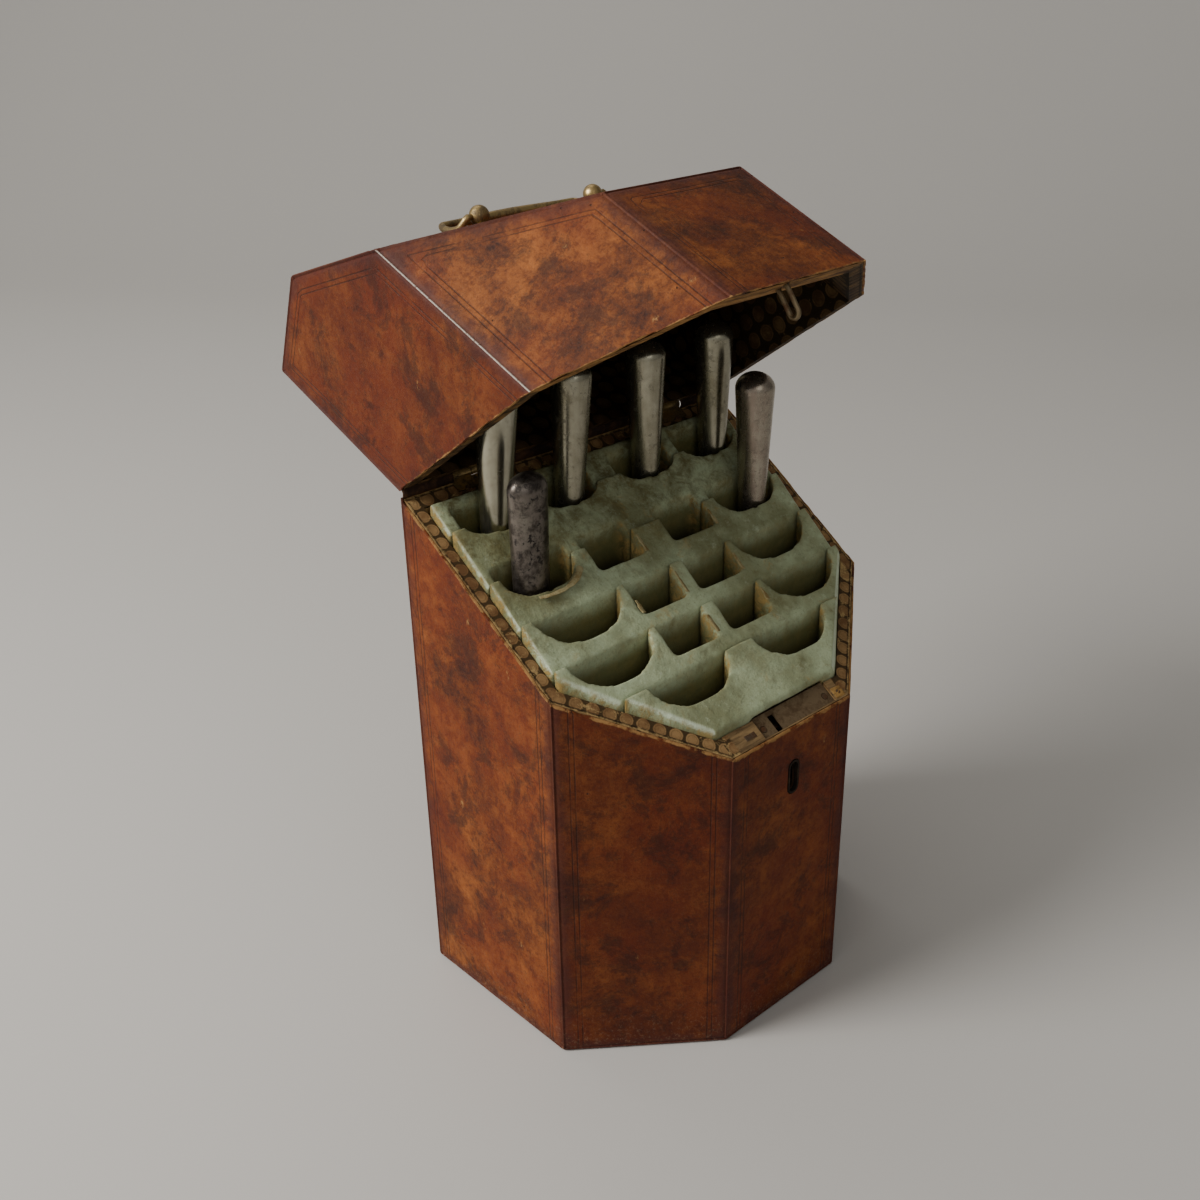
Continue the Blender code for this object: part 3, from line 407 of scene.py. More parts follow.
def slab(bm, under, over):  # closes the space between two such grids
    for grid in (under, over):
        cover(bm, grid)
    for side in (0, -1):
        cover(bm, [under[side], over[side]])
        cover(bm, [[line[side] for line in grid] for grid in (under, over)])
    bmesh.ops.recalc_face_normals(bm, faces=bm.faces)


# Calf leather

leatherLooks = dict(
    deep=(0.046, 0.0110, 0.0045), mid=(0.155, 0.0400, 0.0072),
    warm=(0.375, 0.120, 0.0250), red=(0.200, 0.0240, 0.0050),
    # edge: the colour of the painted shade along the panels' edges
    ink=(0.018, 0.0070, 0.0055), edge=(0.050, 0.0135, 0.0115),
    bare=(0.36, 0.20, 0.07), scuff=(0.78, 0.73, 0.64), dust=(0.30, 0.20, 0.12),
    contrast=1.60, bandWidth=8 * mm, lines=(7.4 * mm, 9.6 * mm),
    lineHalf=0.42 * mm, dustHeight=34 * mm,
)


def calfFinish():
    looks = leatherLooks
    ink, bare = looks["ink"], looks["bare"]
    skin = Finish("calfLeather", 0.20)
    cloud = skin.noise(52, 4, 0.6, lump=0.3)
    blotch = skin.noise(19, 6, 0.68, lump=0.4)
    patch = skin.noise(7, 6, 0.74, lump=0.3)
    speckle = skin.noise(2.4, 5, 0.78)
    fine = skin.noise(0.8, 3, 0.6)
    warmth = cloud * 0.50 + blotch * 0.55 + patch * 0.50 + speckle * 0.55
    warmth = (warmth - 1.05) * looks["contrast"] + 0.48
    skin.colour = skin.ramp(warmth, (0.18, looks["deep"]), (0.47, looks["mid"]),
                            (0.80, looks["warm"]))
    ruddy = skin.noise(44, 3, 0.5, where=skin.shifted(0.31)).rise(0.40, 0.62)
    ruddy = (ruddy * 0.45 + skin.layer("ruddy")).limited()
    skin.lay(ruddy, skin.mix(0.55, skin.colour, looks["red"]))
    dark = skin.noise(22, 7, 0.80, lump=0.4, where=skin.shifted(0.13)).rise(0.49, 0.62)
    skin.lay(dark * 0.52, ink)
    pores = speckle.rise(0.53, 0.66) * patch.rise(0.38, 0.60)
    skin.lay(pores * 0.55, ink)
    # painted shade: the colour multiplied by each panel's tone, darker on faces turned from the light,
    # partly the leather's own tone
    toneAndPaintedShade = skin.layer("toneAndPaintedShade")
    skin.lay(1.0, skin.node("CombineXYZ", {}, {0: toneAndPaintedShade, 1: toneAndPaintedShade, 2: toneAndPaintedShade}), "MULTIPLY")
    edge = skin.layer("edge")
    wander = (skin.noise(10, 5, 0.7) - 0.5) * (14 * mm)
    # painted shade: a dark band along every edge of the panels
    skin.lay((edge + wander).fall(1.0 * mm, looks["bandWidth"]) * 0.62, looks["edge"])
    fillet = skin.layer("fillet")  # two tooled lines along each edge
    wear = skin.noise(17, 3).rise(0.34, 0.52)
    half = looks["lineHalf"]
    first, second = (abs(fillet - place).fall(half * 0.3, half) for place in looks["lines"])
    tooled = (first + second) * (0.25 + wear * 0.60)
    skin.lay((tooled * 0.70).limited(), ink)
    flat = skin.stretched(1, 1, 0.5)
    nick = skin.noise(1.3, 4, 0.8, where=skin.stretched(1, 1, 0.4)).rise(0.50, 0.58)
    skin.lay(skin.cells(20, flat).fall(0.03, 0.085) * nick * 0.85, bare)
    dots = skin.cells(9, skin.shifted(0.7)).fall(0.035, 0.06)
    dots = dots * skin.noise(33, 2).rise(0.46, 0.56)
    skin.lay(dots * 0.8, ink)
    low = skin.split(skin.where)[2].fall(-4 * mm, looks["dustHeight"])
    dusty = skin.noise(1.7, 5, 0.8).rise(0.52, 0.66) * (low * 0.5 + 0.10)
    skin.lay(dusty * 0.5, looks["dust"])
    ragged = (skin.noise(5, 4, 0.7) - 0.5) * (3.0 * mm)
    frayed = (skin.layer("rim") + ragged).fall(0.1 * mm, 0.9 * mm)
    frayed = frayed * skin.noise(8, 4, 0.7, where=skin.shifted(0.5)).rise(0.40, 0.56)
    corner = (edge + (skin.noise(7, 5, 0.8) - 0.5) * (4.2 * mm)).fall(-0.6 * mm, 0.2 * mm)
    worn = (frayed + corner * 0.35).limited()
    skin.lay(worn * 0.80, bare)
    scuff = skin.layer("ridge").fall(0.35 * mm, 0.80 * mm)
    scuff = scuff * skin.noise(1.6, 4, 0.8).rise(0.32, 0.48)
    skin.lay(scuff * 0.92, looks["scuff"])
    return skin.paint(0.46 + blotch * 0.16 + fine * 0.12 + worn * 0.3 + scuff * 0.2,
                      fine * 0.45 + speckle * 0.8 + patch * 0.8 - tooled * 0.8 - worn * 0.5
                      - dots * 1.2 + scuff * 0.5, 0.24 * mm)


def edgeLayers(bm, planes, tonesWithPaintedShade, fillets, mouthPoint, ridgePair):
    # How far the leather is from an edge, an edge with fillet lines, the rim and the scuffed
    # ridge, and the tone of its panels, partly painted shade, and their redness.
    edge, fillet, rim, ridge = layers(bm.verts, "edge", "fillet", "rim", "ridge")
    toneAndPaintedShade, ruddy = layers(bm.faces, "toneAndPaintedShade", "ruddy")
    for vert in bm.verts:
        found = under(vert.co, planes)
        _, own, face = min(found)
        spread = [(distance / max(sin(face.angle(normal)), 0.2), name)
                  for distance, name, normal in found if name != own]
        vert[edge] = min(spread)[0]
        vert[fillet] = min([distance for distance, name in spread if name in fillets] or [1])
        vert[rim] = abs((vert.co - mouthPoint).dot(mouthOut))
        vert[ridge] = max([distance for distance, name, _ in found if name in ridgePair] or [1])
    for face in bm.faces:
        face[toneAndPaintedShade], face[ruddy] = tonesWithPaintedShade[min(under(face.calc_center_median(), planes))[1]]


wearForm = lengths(grid=4, fineGrid=1, rounding=3.4, dent=0.24, pucker=0.07, deepest=1.25,
                   surface=0.3)
wearForm["edgeCuts"] = [cut * mm for cut in (0.5, 1.1, 1.7, 2.4, 3.3)]


def roundedMove(place, planes):
    # The move of a point on the skin that makes panels meet in an arc, and its panel's normal.
    found = sorted(((point - place).dot(normal), tuple(normal)) for _, normal, point in planes)
    near, first = found[0][0], Vector(found[0][1])
    move = Vector()
    reach = wearForm["rounding"]
    for distance, normal in found[1:3] if near <= wearForm["surface"] else ():
        other = Vector(normal)
        turn = first.angle(other)
        along = distance / sin(turn)
        if along < reach and turn > 0.1:
            radius = reach / tan(turn / 2)
            toEdge = (other - first * cos(turn)) / sin(turn)
            angle = turn / 2 * (1 - along / reach)
            centre = toEdge * along - (first + other) * (radius / (1 + cos(turn)))
            move += centre + (first * cos(angle) + toEdge * sin(angle)) * radius
    return move, first


def wornLeather(name, node, planes, tonesWithPaintedShade, body, material, world, mouthPoint, ridgePair, bite):
    form = wearForm
    bm = copyOf(node, True)
    bm.transform(world)
    grid = form["grid"] * 1
    sliceBox(bm, grid, grid, lidTop + 2 * mm)
    rimLevel = mouthPoint.dot(mouthOut)
    sliceUp(bm, mouthOut, form["fineGrid"], rimLevel - 4 * mm, rimLevel + 4 * mm)
    for _, normal, point in planes:  # closer cuts near each edge, to round it
        for cut in form["edgeCuts"]:
            cutAt(bm, point - normal * cut, normal)
    edgeLayers(bm, planes, tonesWithPaintedShade, uprights + ["slope", "top"], mouthPoint, ridgePair)
    rim = bm.verts.layers.float["rim"]
    bm.normal_update()
    moves = []
    for vert in bm.verts:
        move = Vector()
        if min(under(vert.co, planes))[0] < form["surface"]:
            sunk = (form["dent"] * (bumpAt(vert.co, 34, 1) + 1)
                    + form["pucker"] * (bumpAt(vert.co, 7, 2) + 1))
            move, facing = roundedMove(vert.co, planes)
            move -= vert.normal * sunk
            depth = -move.dot(facing)
            if depth > form["deepest"]:
                move *= form["deepest"] / depth
        if vert[rim] < 0.4 * mm:  # the edge at the mouth is worn back in places
            worn = max(0, bumpAt(vert.co, 6, 5) + bumpAt(vert.co, 2.1, 6) * 0.45)
            move += mouthOut * bite * worn
        moves.append((vert, move))
    for vert, move in moves:
        vert.co += move
    bm.transform(world.inverted())
    return newPiece(name, bm, material, body, [node], 50)


calf = calfFinish()
# Tone of each panel, partly painted shade where a face turns from the light, and its redness
caseTonesWithPaintedShade = {"left": (0.80, 0.25), "leftCant": (0.58, 0.60), "front": (0.70, 0.50),
             "rightCant": (0.65, 0.3), "right": (0.75, 0.2), "back": (0.7, 0.1),
             "bottom": (0.5, 0.0)}
lidTonesWithPaintedShade = {"left": (0.60, 0.65), "leftCant": (0.82, 0.0), "front": (0.70, 0.15),
            "rightCant": (0.75, 0.2), "right": (0.75, 0.2), "back": (0.7, 0.1),
            "slope": (0.75, 0.1), "top": (0.7, 0.1)}
wornLeather("calfOnCase", "case_leather", casePlanes, caseTonesWithPaintedShade, "case", calf, Matrix(),
            mouthFront, (), -1.1 * mm)
wornLeather("calfOnLid", "lid_leather", lidPlanes, lidTonesWithPaintedShade, "lid", calf, lidClosed,
            mouthFront + mouthOut * caseForm["lidGap"], ("left", "leftCant"), 1.1 * mm)
print("leather done")


# Printed paper on the rims and in the lid

paperLooks = dict(
    pitch=10.0 * mm, disc=4.1 * mm, ground=(0.052, 0.032, 0.014),
    ink=(0.016, 0.009, 0.005), discFar=(0.13, 0.065, 0.028),
    discNear=(0.29, 0.175, 0.075), bare=(0.40, 0.27, 0.11),
    rimWood=((0.27, 0.175, 0.080), (0.105, 0.066, 0.032)),
    lidWood=((0.37, 0.195, 0.062), (0.075, 0.036, 0.016)),
    rimWidth=6.1 * mm, alongStretch=1.30, acrossStretch=1.38,
)


def discFinish(name, lightness, worn, wood):
    looks = paperLooks
    paper = Finish(name, 0.12)
    across, along, _ = paper.split(paper.layer("print", "Vector"))
    pitch = looks["pitch"]
    jog = (paper.noise(9, 2) - 0.5) * 0.16
    dx = (across / pitch + jog).sum("FRACT") - 0.5
    dy = (along / pitch - jog).sum("FRACT") - 0.5
    spread = (dx * dx + dy * dy) ** 0.5
    ragged = spread + (paper.noise(2.2, 3, 0.7) - 0.5) * 0.08
    reach = looks["disc"] / pitch
    disc = ragged.fall(reach - 0.03, reach + 0.03)
    ring = abs(spread - reach * 0.72).fall(0.01, 0.045)
    patch = paper.noise(16, 4, 0.65)
    shade = paper.mix(patch.rise(0.35, 0.65), looks["discFar"], looks["discNear"])
    shade = paper.mix(ring * 0.30, shade, looks["ground"])
    paper.colour = paper.mix(disc, looks["ground"], shade)
    grain = paper.noise(1.1, 4, 0.7)
    paper.lay(grain.rise(0.55, 0.72) * 0.35, looks["ink"])
    tear = paper.noise(9, 6, 0.78, lump=0.5).rise(0.64 - worn * 0.09, 0.72 - worn * 0.09)
    torn = paper.mix(grain.rise(0.42, 0.66), looks["bare"], looks["rimWood"][0])
    paper.lay(tear * 0.9, torn)
    border = paper.layer("border")
    paper.lay(abs(border - 0.9 * mm).fall(0.2 * mm, 0.6 * mm) * 0.8, looks["ink"])
    scrape = (border + (paper.noise(4, 4, 0.7) - 0.5) * (5.5 * mm)).fall(-0.4 * mm, 1.2 * mm)
    paper.lay(scrape * worn, torn)
    # painted shade: the print darkened by lightness, for the lining inside the lid
    paper.lay(1.0, (lightness,) * 3, "MULTIPLY")
    fibre = paper.noise(3.2, 5, 0.7, where=paper.stretched(0.12, 1, 1), lump=0.4)
    board = paper.mix(fibre.rise(0.35, 0.65), *wood)
    board = paper.mix(grain.rise(0.60, 0.78) * 0.5, board, looks["ink"])
    gone = (paper.layer("lip") * 1.4 - 0.7 + patch).rise(0.38, 0.66)  # wood shows
    paper.lay(gone, board)
    return paper.paint(0.62 + grain * 0.25,
                       grain * 0.4 + disc * 0.3 - tear * 0.6 + patch * 0.3, 0.15 * mm)


# How bare the rims are: on the case along x from a place on, on the lid for each wall
bareForm = {"from": -38 * mm, "blend": 9 * mm, "scrap": 0.34 * mm, "other": 0.42,
            "ripple": 0.08 * mm,
            "lid": {"front": 0.66, "rightCant": 0.38, "leftCant": 0.60, "right": 0.30}}


def printLayers(bm, planes, onCase):
    # Where each corner of a face lies on the printed sheet, and how far from the rim's edge.
    sheet = bm.loops.layers.float_vector.new("print")
    border, lip = layers(bm.loops, "border", "lip")
    looks, form = paperLooks, bareForm
    for face in bm.faces:
        own = min(under(face.calc_center_median(), planes[:6]))[1]
        name, normal, point = next(plane for plane in planes if plane[0] == own)
        level = abs(face.normal.dot(mouthOut))
        isRim = level > 0.97
        turned = normal if isRim else face.normal
        across = turned.cross(mouthOut).normalized() if isRim or level < 0.9 else right
        inward = face.normal.cross(across)
        for loop in face.loops:
            place = loop.vert.co
            if isRim:
                depth = (point - place).dot(normal) - caseForm["skin"]
                middle = (depth - looks["rimWidth"] / 2) * looks["acrossStretch"]
                loop[sheet] = (place.dot(across) * looks["alongStretch"],
                               middle + looks["pitch"] / 2, 0)
                loop[border] = depth
                if not onCase:
                    loop[lip] = form["lid"].get(name, form["other"])
                elif name == "front":
                    loop[lip] = min(1, max(0, (place.x - form["from"]) / form["blend"]))
            else:
                loop[sheet] = (place.dot(across), place.dot(inward), 0)
                loop[border] = 1


def printedPiece(name, node, planes, body, material, world):
    bm = copyOf(node, True)
    bm.transform(world)
    sliceBox(bm, (3) * mm, 12 * mm, lidTop)
    bm.normal_update()
    onCase = body == "case"
    printLayers(bm, planes, onCase)
    for vert in bm.verts:
        onMouth = vert.normal.dot(mouthOut) < -0.99
        vert.co += vert.normal * bareForm["ripple"] * bumpAt(vert.co, 9, 3)
        if onMouth and not onCase:  # scraps stand up on the lid's rim
            scrap = bumpAt(vert.co, 5, 13) + 0.5 * bumpAt(vert.co, 3, 14)
            vert.co -= mouthOut * bareForm["scrap"] * min(1, max(0, scrap * 1.6))
    bm.transform(world.inverted())
    return newPiece(name, bm, material, body, [node], 30)


rimPaper = discFinish("printedRim", 1.0, 1.0, paperLooks["rimWood"])
# painted shade: the lid's lining is the rim's print at 0.36 of its brightness
liningPaper = discFinish("printedLining", 0.36, 0.5, paperLooks["lidWood"])
printedPiece("discPaperOnRim", "rim_paper", casePlanes, "case", rimPaper, Matrix())
printedPiece("discPaperInLid", "lid_lining", lidPlanes, "lid", liningPaper, lidClosed)
print("printed paper done")


# Sage tray

trayLooks = dict(
    light=(0.425, 0.500, 0.320), shade=(0.225, 0.245, 0.135),
    # olive and dark: painted shade deep in the pockets
    olive=(0.120, 0.118, 0.042), dark=(0.036, 0.030, 0.012),
    # ochre: torn paper and worn tops, and painted light on pocket walls that face the key lamp
    # pale: rubbed paper, and the painted highlight on the chamfers
    ochre=(0.38, 0.255, 0.085), dirt=(0.105, 0.090, 0.034), pale=(0.66, 0.76, 0.60),
)
trayForm = lengths(half=92.2, low=3.2, high=6.8, backHigh=5, voxel=0.85, soft=2.4,
                   frontSoft=1.44, swell=0.26, ripple=0.12, shrink=0.16)
seams = [y * mm for y in (64.4, 49.28, 24.05, 3.55, -16.94, -37.44, -63.7)]  # back to front


def sageFinish():
    looks = trayLooks
    dirt = looks["dirt"]
    sage = Finish("sagePaper", 0.10)
    depth = sage.layer("deep")  # metres below the top of its strip
    cloud = sage.noise(45, 4, 0.6)
    blotch = sage.noise(12, 5, 0.65, lump=0.5)
    fine = sage.noise(1.4, 4, 0.7)
    sage.colour = sage.mix(cloud.rise(0.35, 0.62), looks["shade"], looks["light"])
    sage.lay(blotch.rise(0.50, 0.74) * 0.50, dirt)
    sage.lay(fine.rise(0.50, 0.72) * 0.35, dirt)
    behind = sage.split(sage.where)[1].rise(-15 * mm, 55 * mm)
    stain = sage.noise(9, 6, 0.75, lump=0.4, where=sage.shifted(0.4)).rise(0.38, 0.64)
    sage.lay(behind * (0.16 + stain * 0.62) + stain * 0.14, dirt)
    rubbed = sage.noise(3.5, 5, 0.75).rise(0.54, 0.72) * depth.fall(0.2 * mm, 2.0 * mm)
    sage.lay(rubbed * 0.25, looks["pale"])
    # painted highlight: a pale band on the chamfers along the outer walls, all but the front
    sage.lay((sage.layer("side") * (0.15 + blotch * 0.9)).limited(), looks["pale"])
    # painted shade: darker with depth down the pockets, olive and then near black
    sage.lay(depth.rise(1.5 * mm, 9 * mm) * 0.9, looks["olive"])
    sage.lay(depth.rise(9 * mm, 22 * mm), looks["dark"])
    # torn paper showing ochre, and painted light on the pocket walls that face the key lamp
    torn = sage.noise(6, 6, 0.80, lump=0.5).rise(0.38, 0.62)
    torn = torn * (sage.layer("turn") + 0.22)  # most on walls of pockets that face left, towards the key lamp: torn paper and painted light
    torn = torn * depth.rise(0.1 * mm, 1.6 * mm) * depth.fall(9 * mm, 20 * mm)
    sage.lay(torn.limited(), sage.mix(fine * 0.6, looks["ochre"], dirt))
    worn = sage.noise(15, 6, 0.75, lump=0.5).rise(0.58, 0.74) * depth.fall(0.5 * mm, 5 * mm)
    sage.lay(worn * 0.55, looks["ochre"])
    weave = sage.noise(2.6, 5, 0.7, lump=0.4)
    return sage.paint(0.88 + fine * 0.12, fine * 0.6 + weave * 0.9 + blotch * 0.6 + torn * 0.8,
                      0.36 * mm)


def stripTop(index, y):  # a strip's height over the mouth
    form = trayForm
    share = (y - seams[index]) / (seams[index - 1] - seams[index])
    return form["low"] + ((form["backHigh"] if index == 1 else form["high"]) - form["low"]) * share


def sidePlanes():  # the tray's outer walls but the back one
    insets = {"front": halfDeep + seams[-1]}
    return [(name, normal, point - normal * insets.get(name, halfWide - trayForm["half"]))
            for name, normal, point in casePlanes[1:6]]


def softStrip(index, material):
    node = f"tray_strip_{index}"
    form = trayForm
    piece = placed(f"sageStrip{index}", meshFrom(node, copyOf(node, False)))
    modified(piece, "REMESH", mode="VOXEL", voxel_size=form["voxel"] * 1,
             adaptivity=0)
    modified(piece, "SMOOTH", factor=0.5, iterations=18)
    bm = bmesh.new()
    bm.from_mesh(piece.data)
    deep, side, turn = layers(bm.verts, "deep", "side", "turn")
    bm.normal_update()
    planes = sidePlanes()
    for vert in bm.verts:
        below = stripTop(index, vert.co.y) - (vert.co - mouthFront).dot(mouthOut)
        vert[deep] = max(below, 0)
        near, name, normal = min(under(vert.co, planes))
        over = form["frontSoft" if name == "front" else "soft"] - near - below
        if over > 0:  # chamfered along the outer walls
            vert.co -= (normal + mouthOut).normalized() * over / sqrt(2)
            # marks the chamfer for the painted highlight
            if name != "front":
                vert[side] = min(1, over / (0.5 * mm))
        # how far a wall faces left, towards the key lamp, for the painted light on it
        vert[turn] = max(0, -vert.normal.x)
        vert.co += vert.normal * (form["swell"] * bumpAt(vert.co, 11, 4)
                                  + form["ripple"] * bumpAt(vert.co, 4, 7) - form["shrink"])
    bm.to_mesh(piece.data)
    bm.free()
    modified(piece, "SMOOTH", factor=0.5, iterations=5)
    dressed(piece, material, "case", [node])


sage = sageFinish()
for index in range(1, len(seams)):
    softStrip(index, sage)
print("tray done")


# Metals

metalLooks = dict(
    silver=(0.52, 0.505, 0.400), silverDark=(0.19, 0.165, 0.100),
    purple=(0.27, 0.205, 0.165), black=(0.022, 0.017, 0.014),
    umber=(0.17, 0.145, 0.125),
    # Bright and dark colour, roughness, how much of it is bright
    oldBrass=((0.42, 0.30, 0.13), (0.10, 0.070, 0.035), 0.30, 0.5),
    darkIron=((0.16, 0.12, 0.08), (0.12, 0.055, 0.025), 0.45, 0.5),
    stapleIron=((0.22, 0.17, 0.10), (0.12, 0.055, 0.025), 0.45, 0.55),
    bladeSteel=((0.46, 0.45, 0.43), (0.14, 0.12, 0.10), 0.28, 0.6),
    # keyhole liner: painted shade, near black like the inside of the keyhole
    linerBrassPaintedShade=((0.075, 0.050, 0.026), (0.020, 0.013, 0.009), 0.55, 0.42),
    selvageIron=((0.27, 0.195, 0.115), (0.120, 0.075, 0.038), 0.62, 0.52),
)


def silverFinish(name, tarnish, tint, spots):
    looks = metalLooks
    silver = Finish(name)
    streak = silver.noise(5, 4, 0.6, where=silver.stretched(1, 1, 0.10))
    cloud = silver.noise(13, 5, 0.65, lump=0.5)
    grain = silver.noise(1.2, 3, 0.7)
    film = (streak * 0.6 + cloud * 0.6 + tarnish - 0.6).rise(0.0, 0.85)
    silver.colour = silver.mix(film, looks["silver"], looks[tint])
    smoke = silver.noise(5, 5, 0.7, where=silver.shifted(0.2)).rise(0.40, 0.64)
    silver.lay((smoke * (spots * 0.55)).limited(), looks["black"])
    speck = silver.noise(2.8, 4, 0.6, lump=0.3).rise(0.55, 0.68) * cloud.rise(0.34, 0.52)
    speck = (speck * spots).limited()
    silver.lay(speck, looks["black"])
    return silver.paint(0.15 + film * 0.13 + speck * 0.3 + grain * 0.05,
                        grain * 0.2 + cloud * 0.3 - speck * 0.5, 0.05 * mm,
                        metal=1 - film * 0.12 - speck * 0.5)


def patinaFinish(name):
    bright, dark, rough, spread = metalLooks[name]
    metal = Finish(name)
    cloud = metal.noise(7, 5, 0.65, lump=0.4)
    grain = metal.noise(1.1, 4, 0.7)
    film = (cloud + (grain - 0.5) * 0.3).rise(spread - 0.14, spread + 0.14)
    metal.colour = metal.mix(film, bright, dark)
    return metal.paint(rough + film * 0.25 + grain * 0.08, grain * 0.5 + cloud * 0.4, 0.12 * mm,
                       metal=1 - film * 0.35)


silvers = {
    "bright": silverFinish("silverBright", 0.34, "silverDark", 0.10),
    "warm": silverFinish("silverWarm", 0.46, "silverDark", 0.25),
    "purple": silverFinish("silverPurple", 0.52, "purple", 0.3),
    "black": silverFinish("silverBlack", 0.80, "umber", 1.4),
}
brass, iron = patinaFinish("oldBrass"), patinaFinish("darkIron")


# Knife handles

knifeForm = lengths(length=87, shortLength=75, top=9.8, foot=6.2, shortFoot=8.8, dome=8,
                    bead=0.45, dent=0.10)
knifeForm |= dict(waist=0.35, flat=0.72, sides=40, domeSteps=12, rows=16)
shortKnife = 5
knifePlaces = [  # number, foot in mm, lean in degrees, silver
    (1, (-67.03, 51.53, 220.62), 4, "bright"), (2, (-22.96, 51.53, 220.51), 3, "warm"),
    (3, (27.01, 51.53, 220.19), 0, "warm"), (4, (73.11, 51.53, 220.19), 0, "warm"),
    (5, (-70.07, 21.95, 201.22), 0, "black"), (6, (72.1, 21.95, 201.13), 0, "purple"),
]


def handleProfile(length, foot):
    form = knifeForm
    top, dome, waist, rows = form["top"], form["dome"], form["waist"], form["rows"]
    profile = [(0, length)]
    profile += [(top * sine, length - dome * (1 - cosine))
                for sine, cosine in quarterTurn(form["domeSteps"])]
    middle = (foot * (1 + waist) + top * (1 - waist)) / 2
    high = (length - dome) / length
    slope = (middle - foot) / waist
    bend = ((top - middle) / (high - waist) - slope) / high
    for row in range(1, rows):  # one smooth line through the waist
        t = high * (1 - row / rows)
        profile.append((foot + t * (slope + (t - waist) * bend), length * t))
    bead = form["bead"]
    return profile + [(foot + bead - 0.1 * mm, 2.4 * mm), (foot + bead, 1.6 * mm),
                      (foot, 0.6 * mm), (foot * 0.93, 0), (0, 0)]


for number, foot, lean, silver in knifePlaces:
    short = number == shortKnife
    profile = handleProfile(knifeForm["shortLength" if short else "length"],
                            knifeForm["shortFoot" if short else "foot"])
    bm = turnedForm(profile, knifeForm["sides"])
    if short:
        bmesh.ops.scale(bm, vec=(1, knifeForm["flat"], 1), verts=bm.verts)
    for vert in bm.verts:
        vert.co += vert.normal * knifeForm["dent"] * bumpAt(vert.co, 12, number)
    turn = Matrix.Rotation(radians(lean), 4, "Y")
    bm.transform(Matrix.Translation(Vector(foot) * mm) @ turn)
    newPiece(f"handle{number}", bm, silvers[silver], f"knife_{number}",
             [f"knife_{number}_handle"], 60)
print("knives done")


# Bail handle, posts and staple on the lid

bailForm = lengths(half=33.3, pivotHeight=6, reach=22, flare=4.5, wire=3.4, heel=6, bow=3,
                   end=1.3, ball=4.6, neck=2.3, rose=6, roseThick=1.3, bore=3.2, shank=1.8,
                   shankDepth=5.4, clear=0.3)
bailForm |= dict(upSlope=0.617, swell=0.6, steps=10, rows=8, sides=20, ballSteps=16,
                 postSides=28)
bailPlace = panelDeep / cos(panelSlope) * bailForm["upSlope"]


def onPanel(x, upSlope, height):
    return right * x + panelFront + panelAlong * upSlope + panelOut * height


def bailGrip():
    form = bailForm
    tip = form["half"] + form["ball"]
    start, clear = tip - form["bore"] + form["clear"], tip + form["wire"] / 4
    outer, reach, heel = tip + form["flare"], form["reach"], form["heel"]
    dip = form["pivotHeight"] - form["wire"] / 2 - form["clear"]
    slim = 2 * form["end"] / form["wire"]
    path = [(start, 0, 0, slim), (clear, 0, 0, slim)]
    turn = quarterTurn(form["steps"])
    path += [(clear + (outer - clear) * sine, heel * (1 - cosine), dip * sine ** 2, 1)
             for sine, cosine in turn]
    path += [(outer - form["flare"] * (1 - cosine), heel + (reach - heel) * sine,
              dip * cosine ** 2, 1) for sine, cosine in turn]
    for row in range(1, form["rows"] + 1):  # bowed and thicker towards the middle
        share = row / form["rows"]
        bow = sin(share * pi / 2)
        path.append((form["half"] * (1 - share), reach + form["bow"] * bow, 0,
                     1 + form["swell"] * bow ** 1.5))
    whole = [(-x, y, drop, size) for x, y, drop, size in path] + list(reversed(path))[1:]
    points = [onPanel(x, bailPlace + y, form["pivotHeight"] - drop) for x, y, drop, _ in whole]
    bm = tube(points, [form["wire"] / 2 * size for *_, size in whole], form["sides"])
    bm.transform(lidOpen)
    newPiece("bailGrip", bm, brass, "bail", ["bail"], 50)


def bailPosts():  # ball, neck, a turned rose with a bead, and a shank in the board
    form = bailForm
    ball, neck, rise = form["ball"], form["neck"], form["pivotHeight"]
    rose, thick, shank, deep = form["rose"], form["roseThick"], form["shank"], form["shankDepth"]
    profile = [(0, rise + ball)]
    steps = form["ballSteps"]
    for step in range(1, steps + 1):
        angle = (pi - asin(neck / ball)) * step / steps
        profile.append((ball * sin(angle), rise + ball * cos(angle)))
    profile += [(neck, thick + 0.6 * mm), (neck + 0.7 * mm, thick + 0.2 * mm),
                (rose * 0.72, thick), (rose * 0.80, thick - 0.3 * mm),
                (rose * 0.88, thick - 0.1 * mm), (rose * 0.97, thick * 0.7), (rose, 0.4 * mm),
                (shank, 0.3 * mm), (shank, -deep), (0, -deep)]
    for side, label in ((-1, "Left"), (1, "Right")):
        bm = turnedForm(profile, form["postSides"])
        place = onPanel(side * form["half"], bailPlace, 0)
        bm.transform(lidOpen @ Matrix.Translation(place) @ Matrix.Rotation(panelSlope, 4, "X"))
        newPiece("bailPost" + label, bm, brass, "lid",
                 ["bail_post_" + label.lower()], 50)


stapleForm = lengths(inset=6.7, wire=2.2, width=7.2, length=14.3, shank=7, blend=1.2)
stapleForm |= dict(shift=-0.076, steps=8, sides=14)


def smoothPath(points):  # corners cut
    made = [points[0]]
    for start, end in zip(points, points[1:]):
        made += [start.lerp(end, 0.25), start.lerp(end, 0.75)]
    return made + [points[-1]]


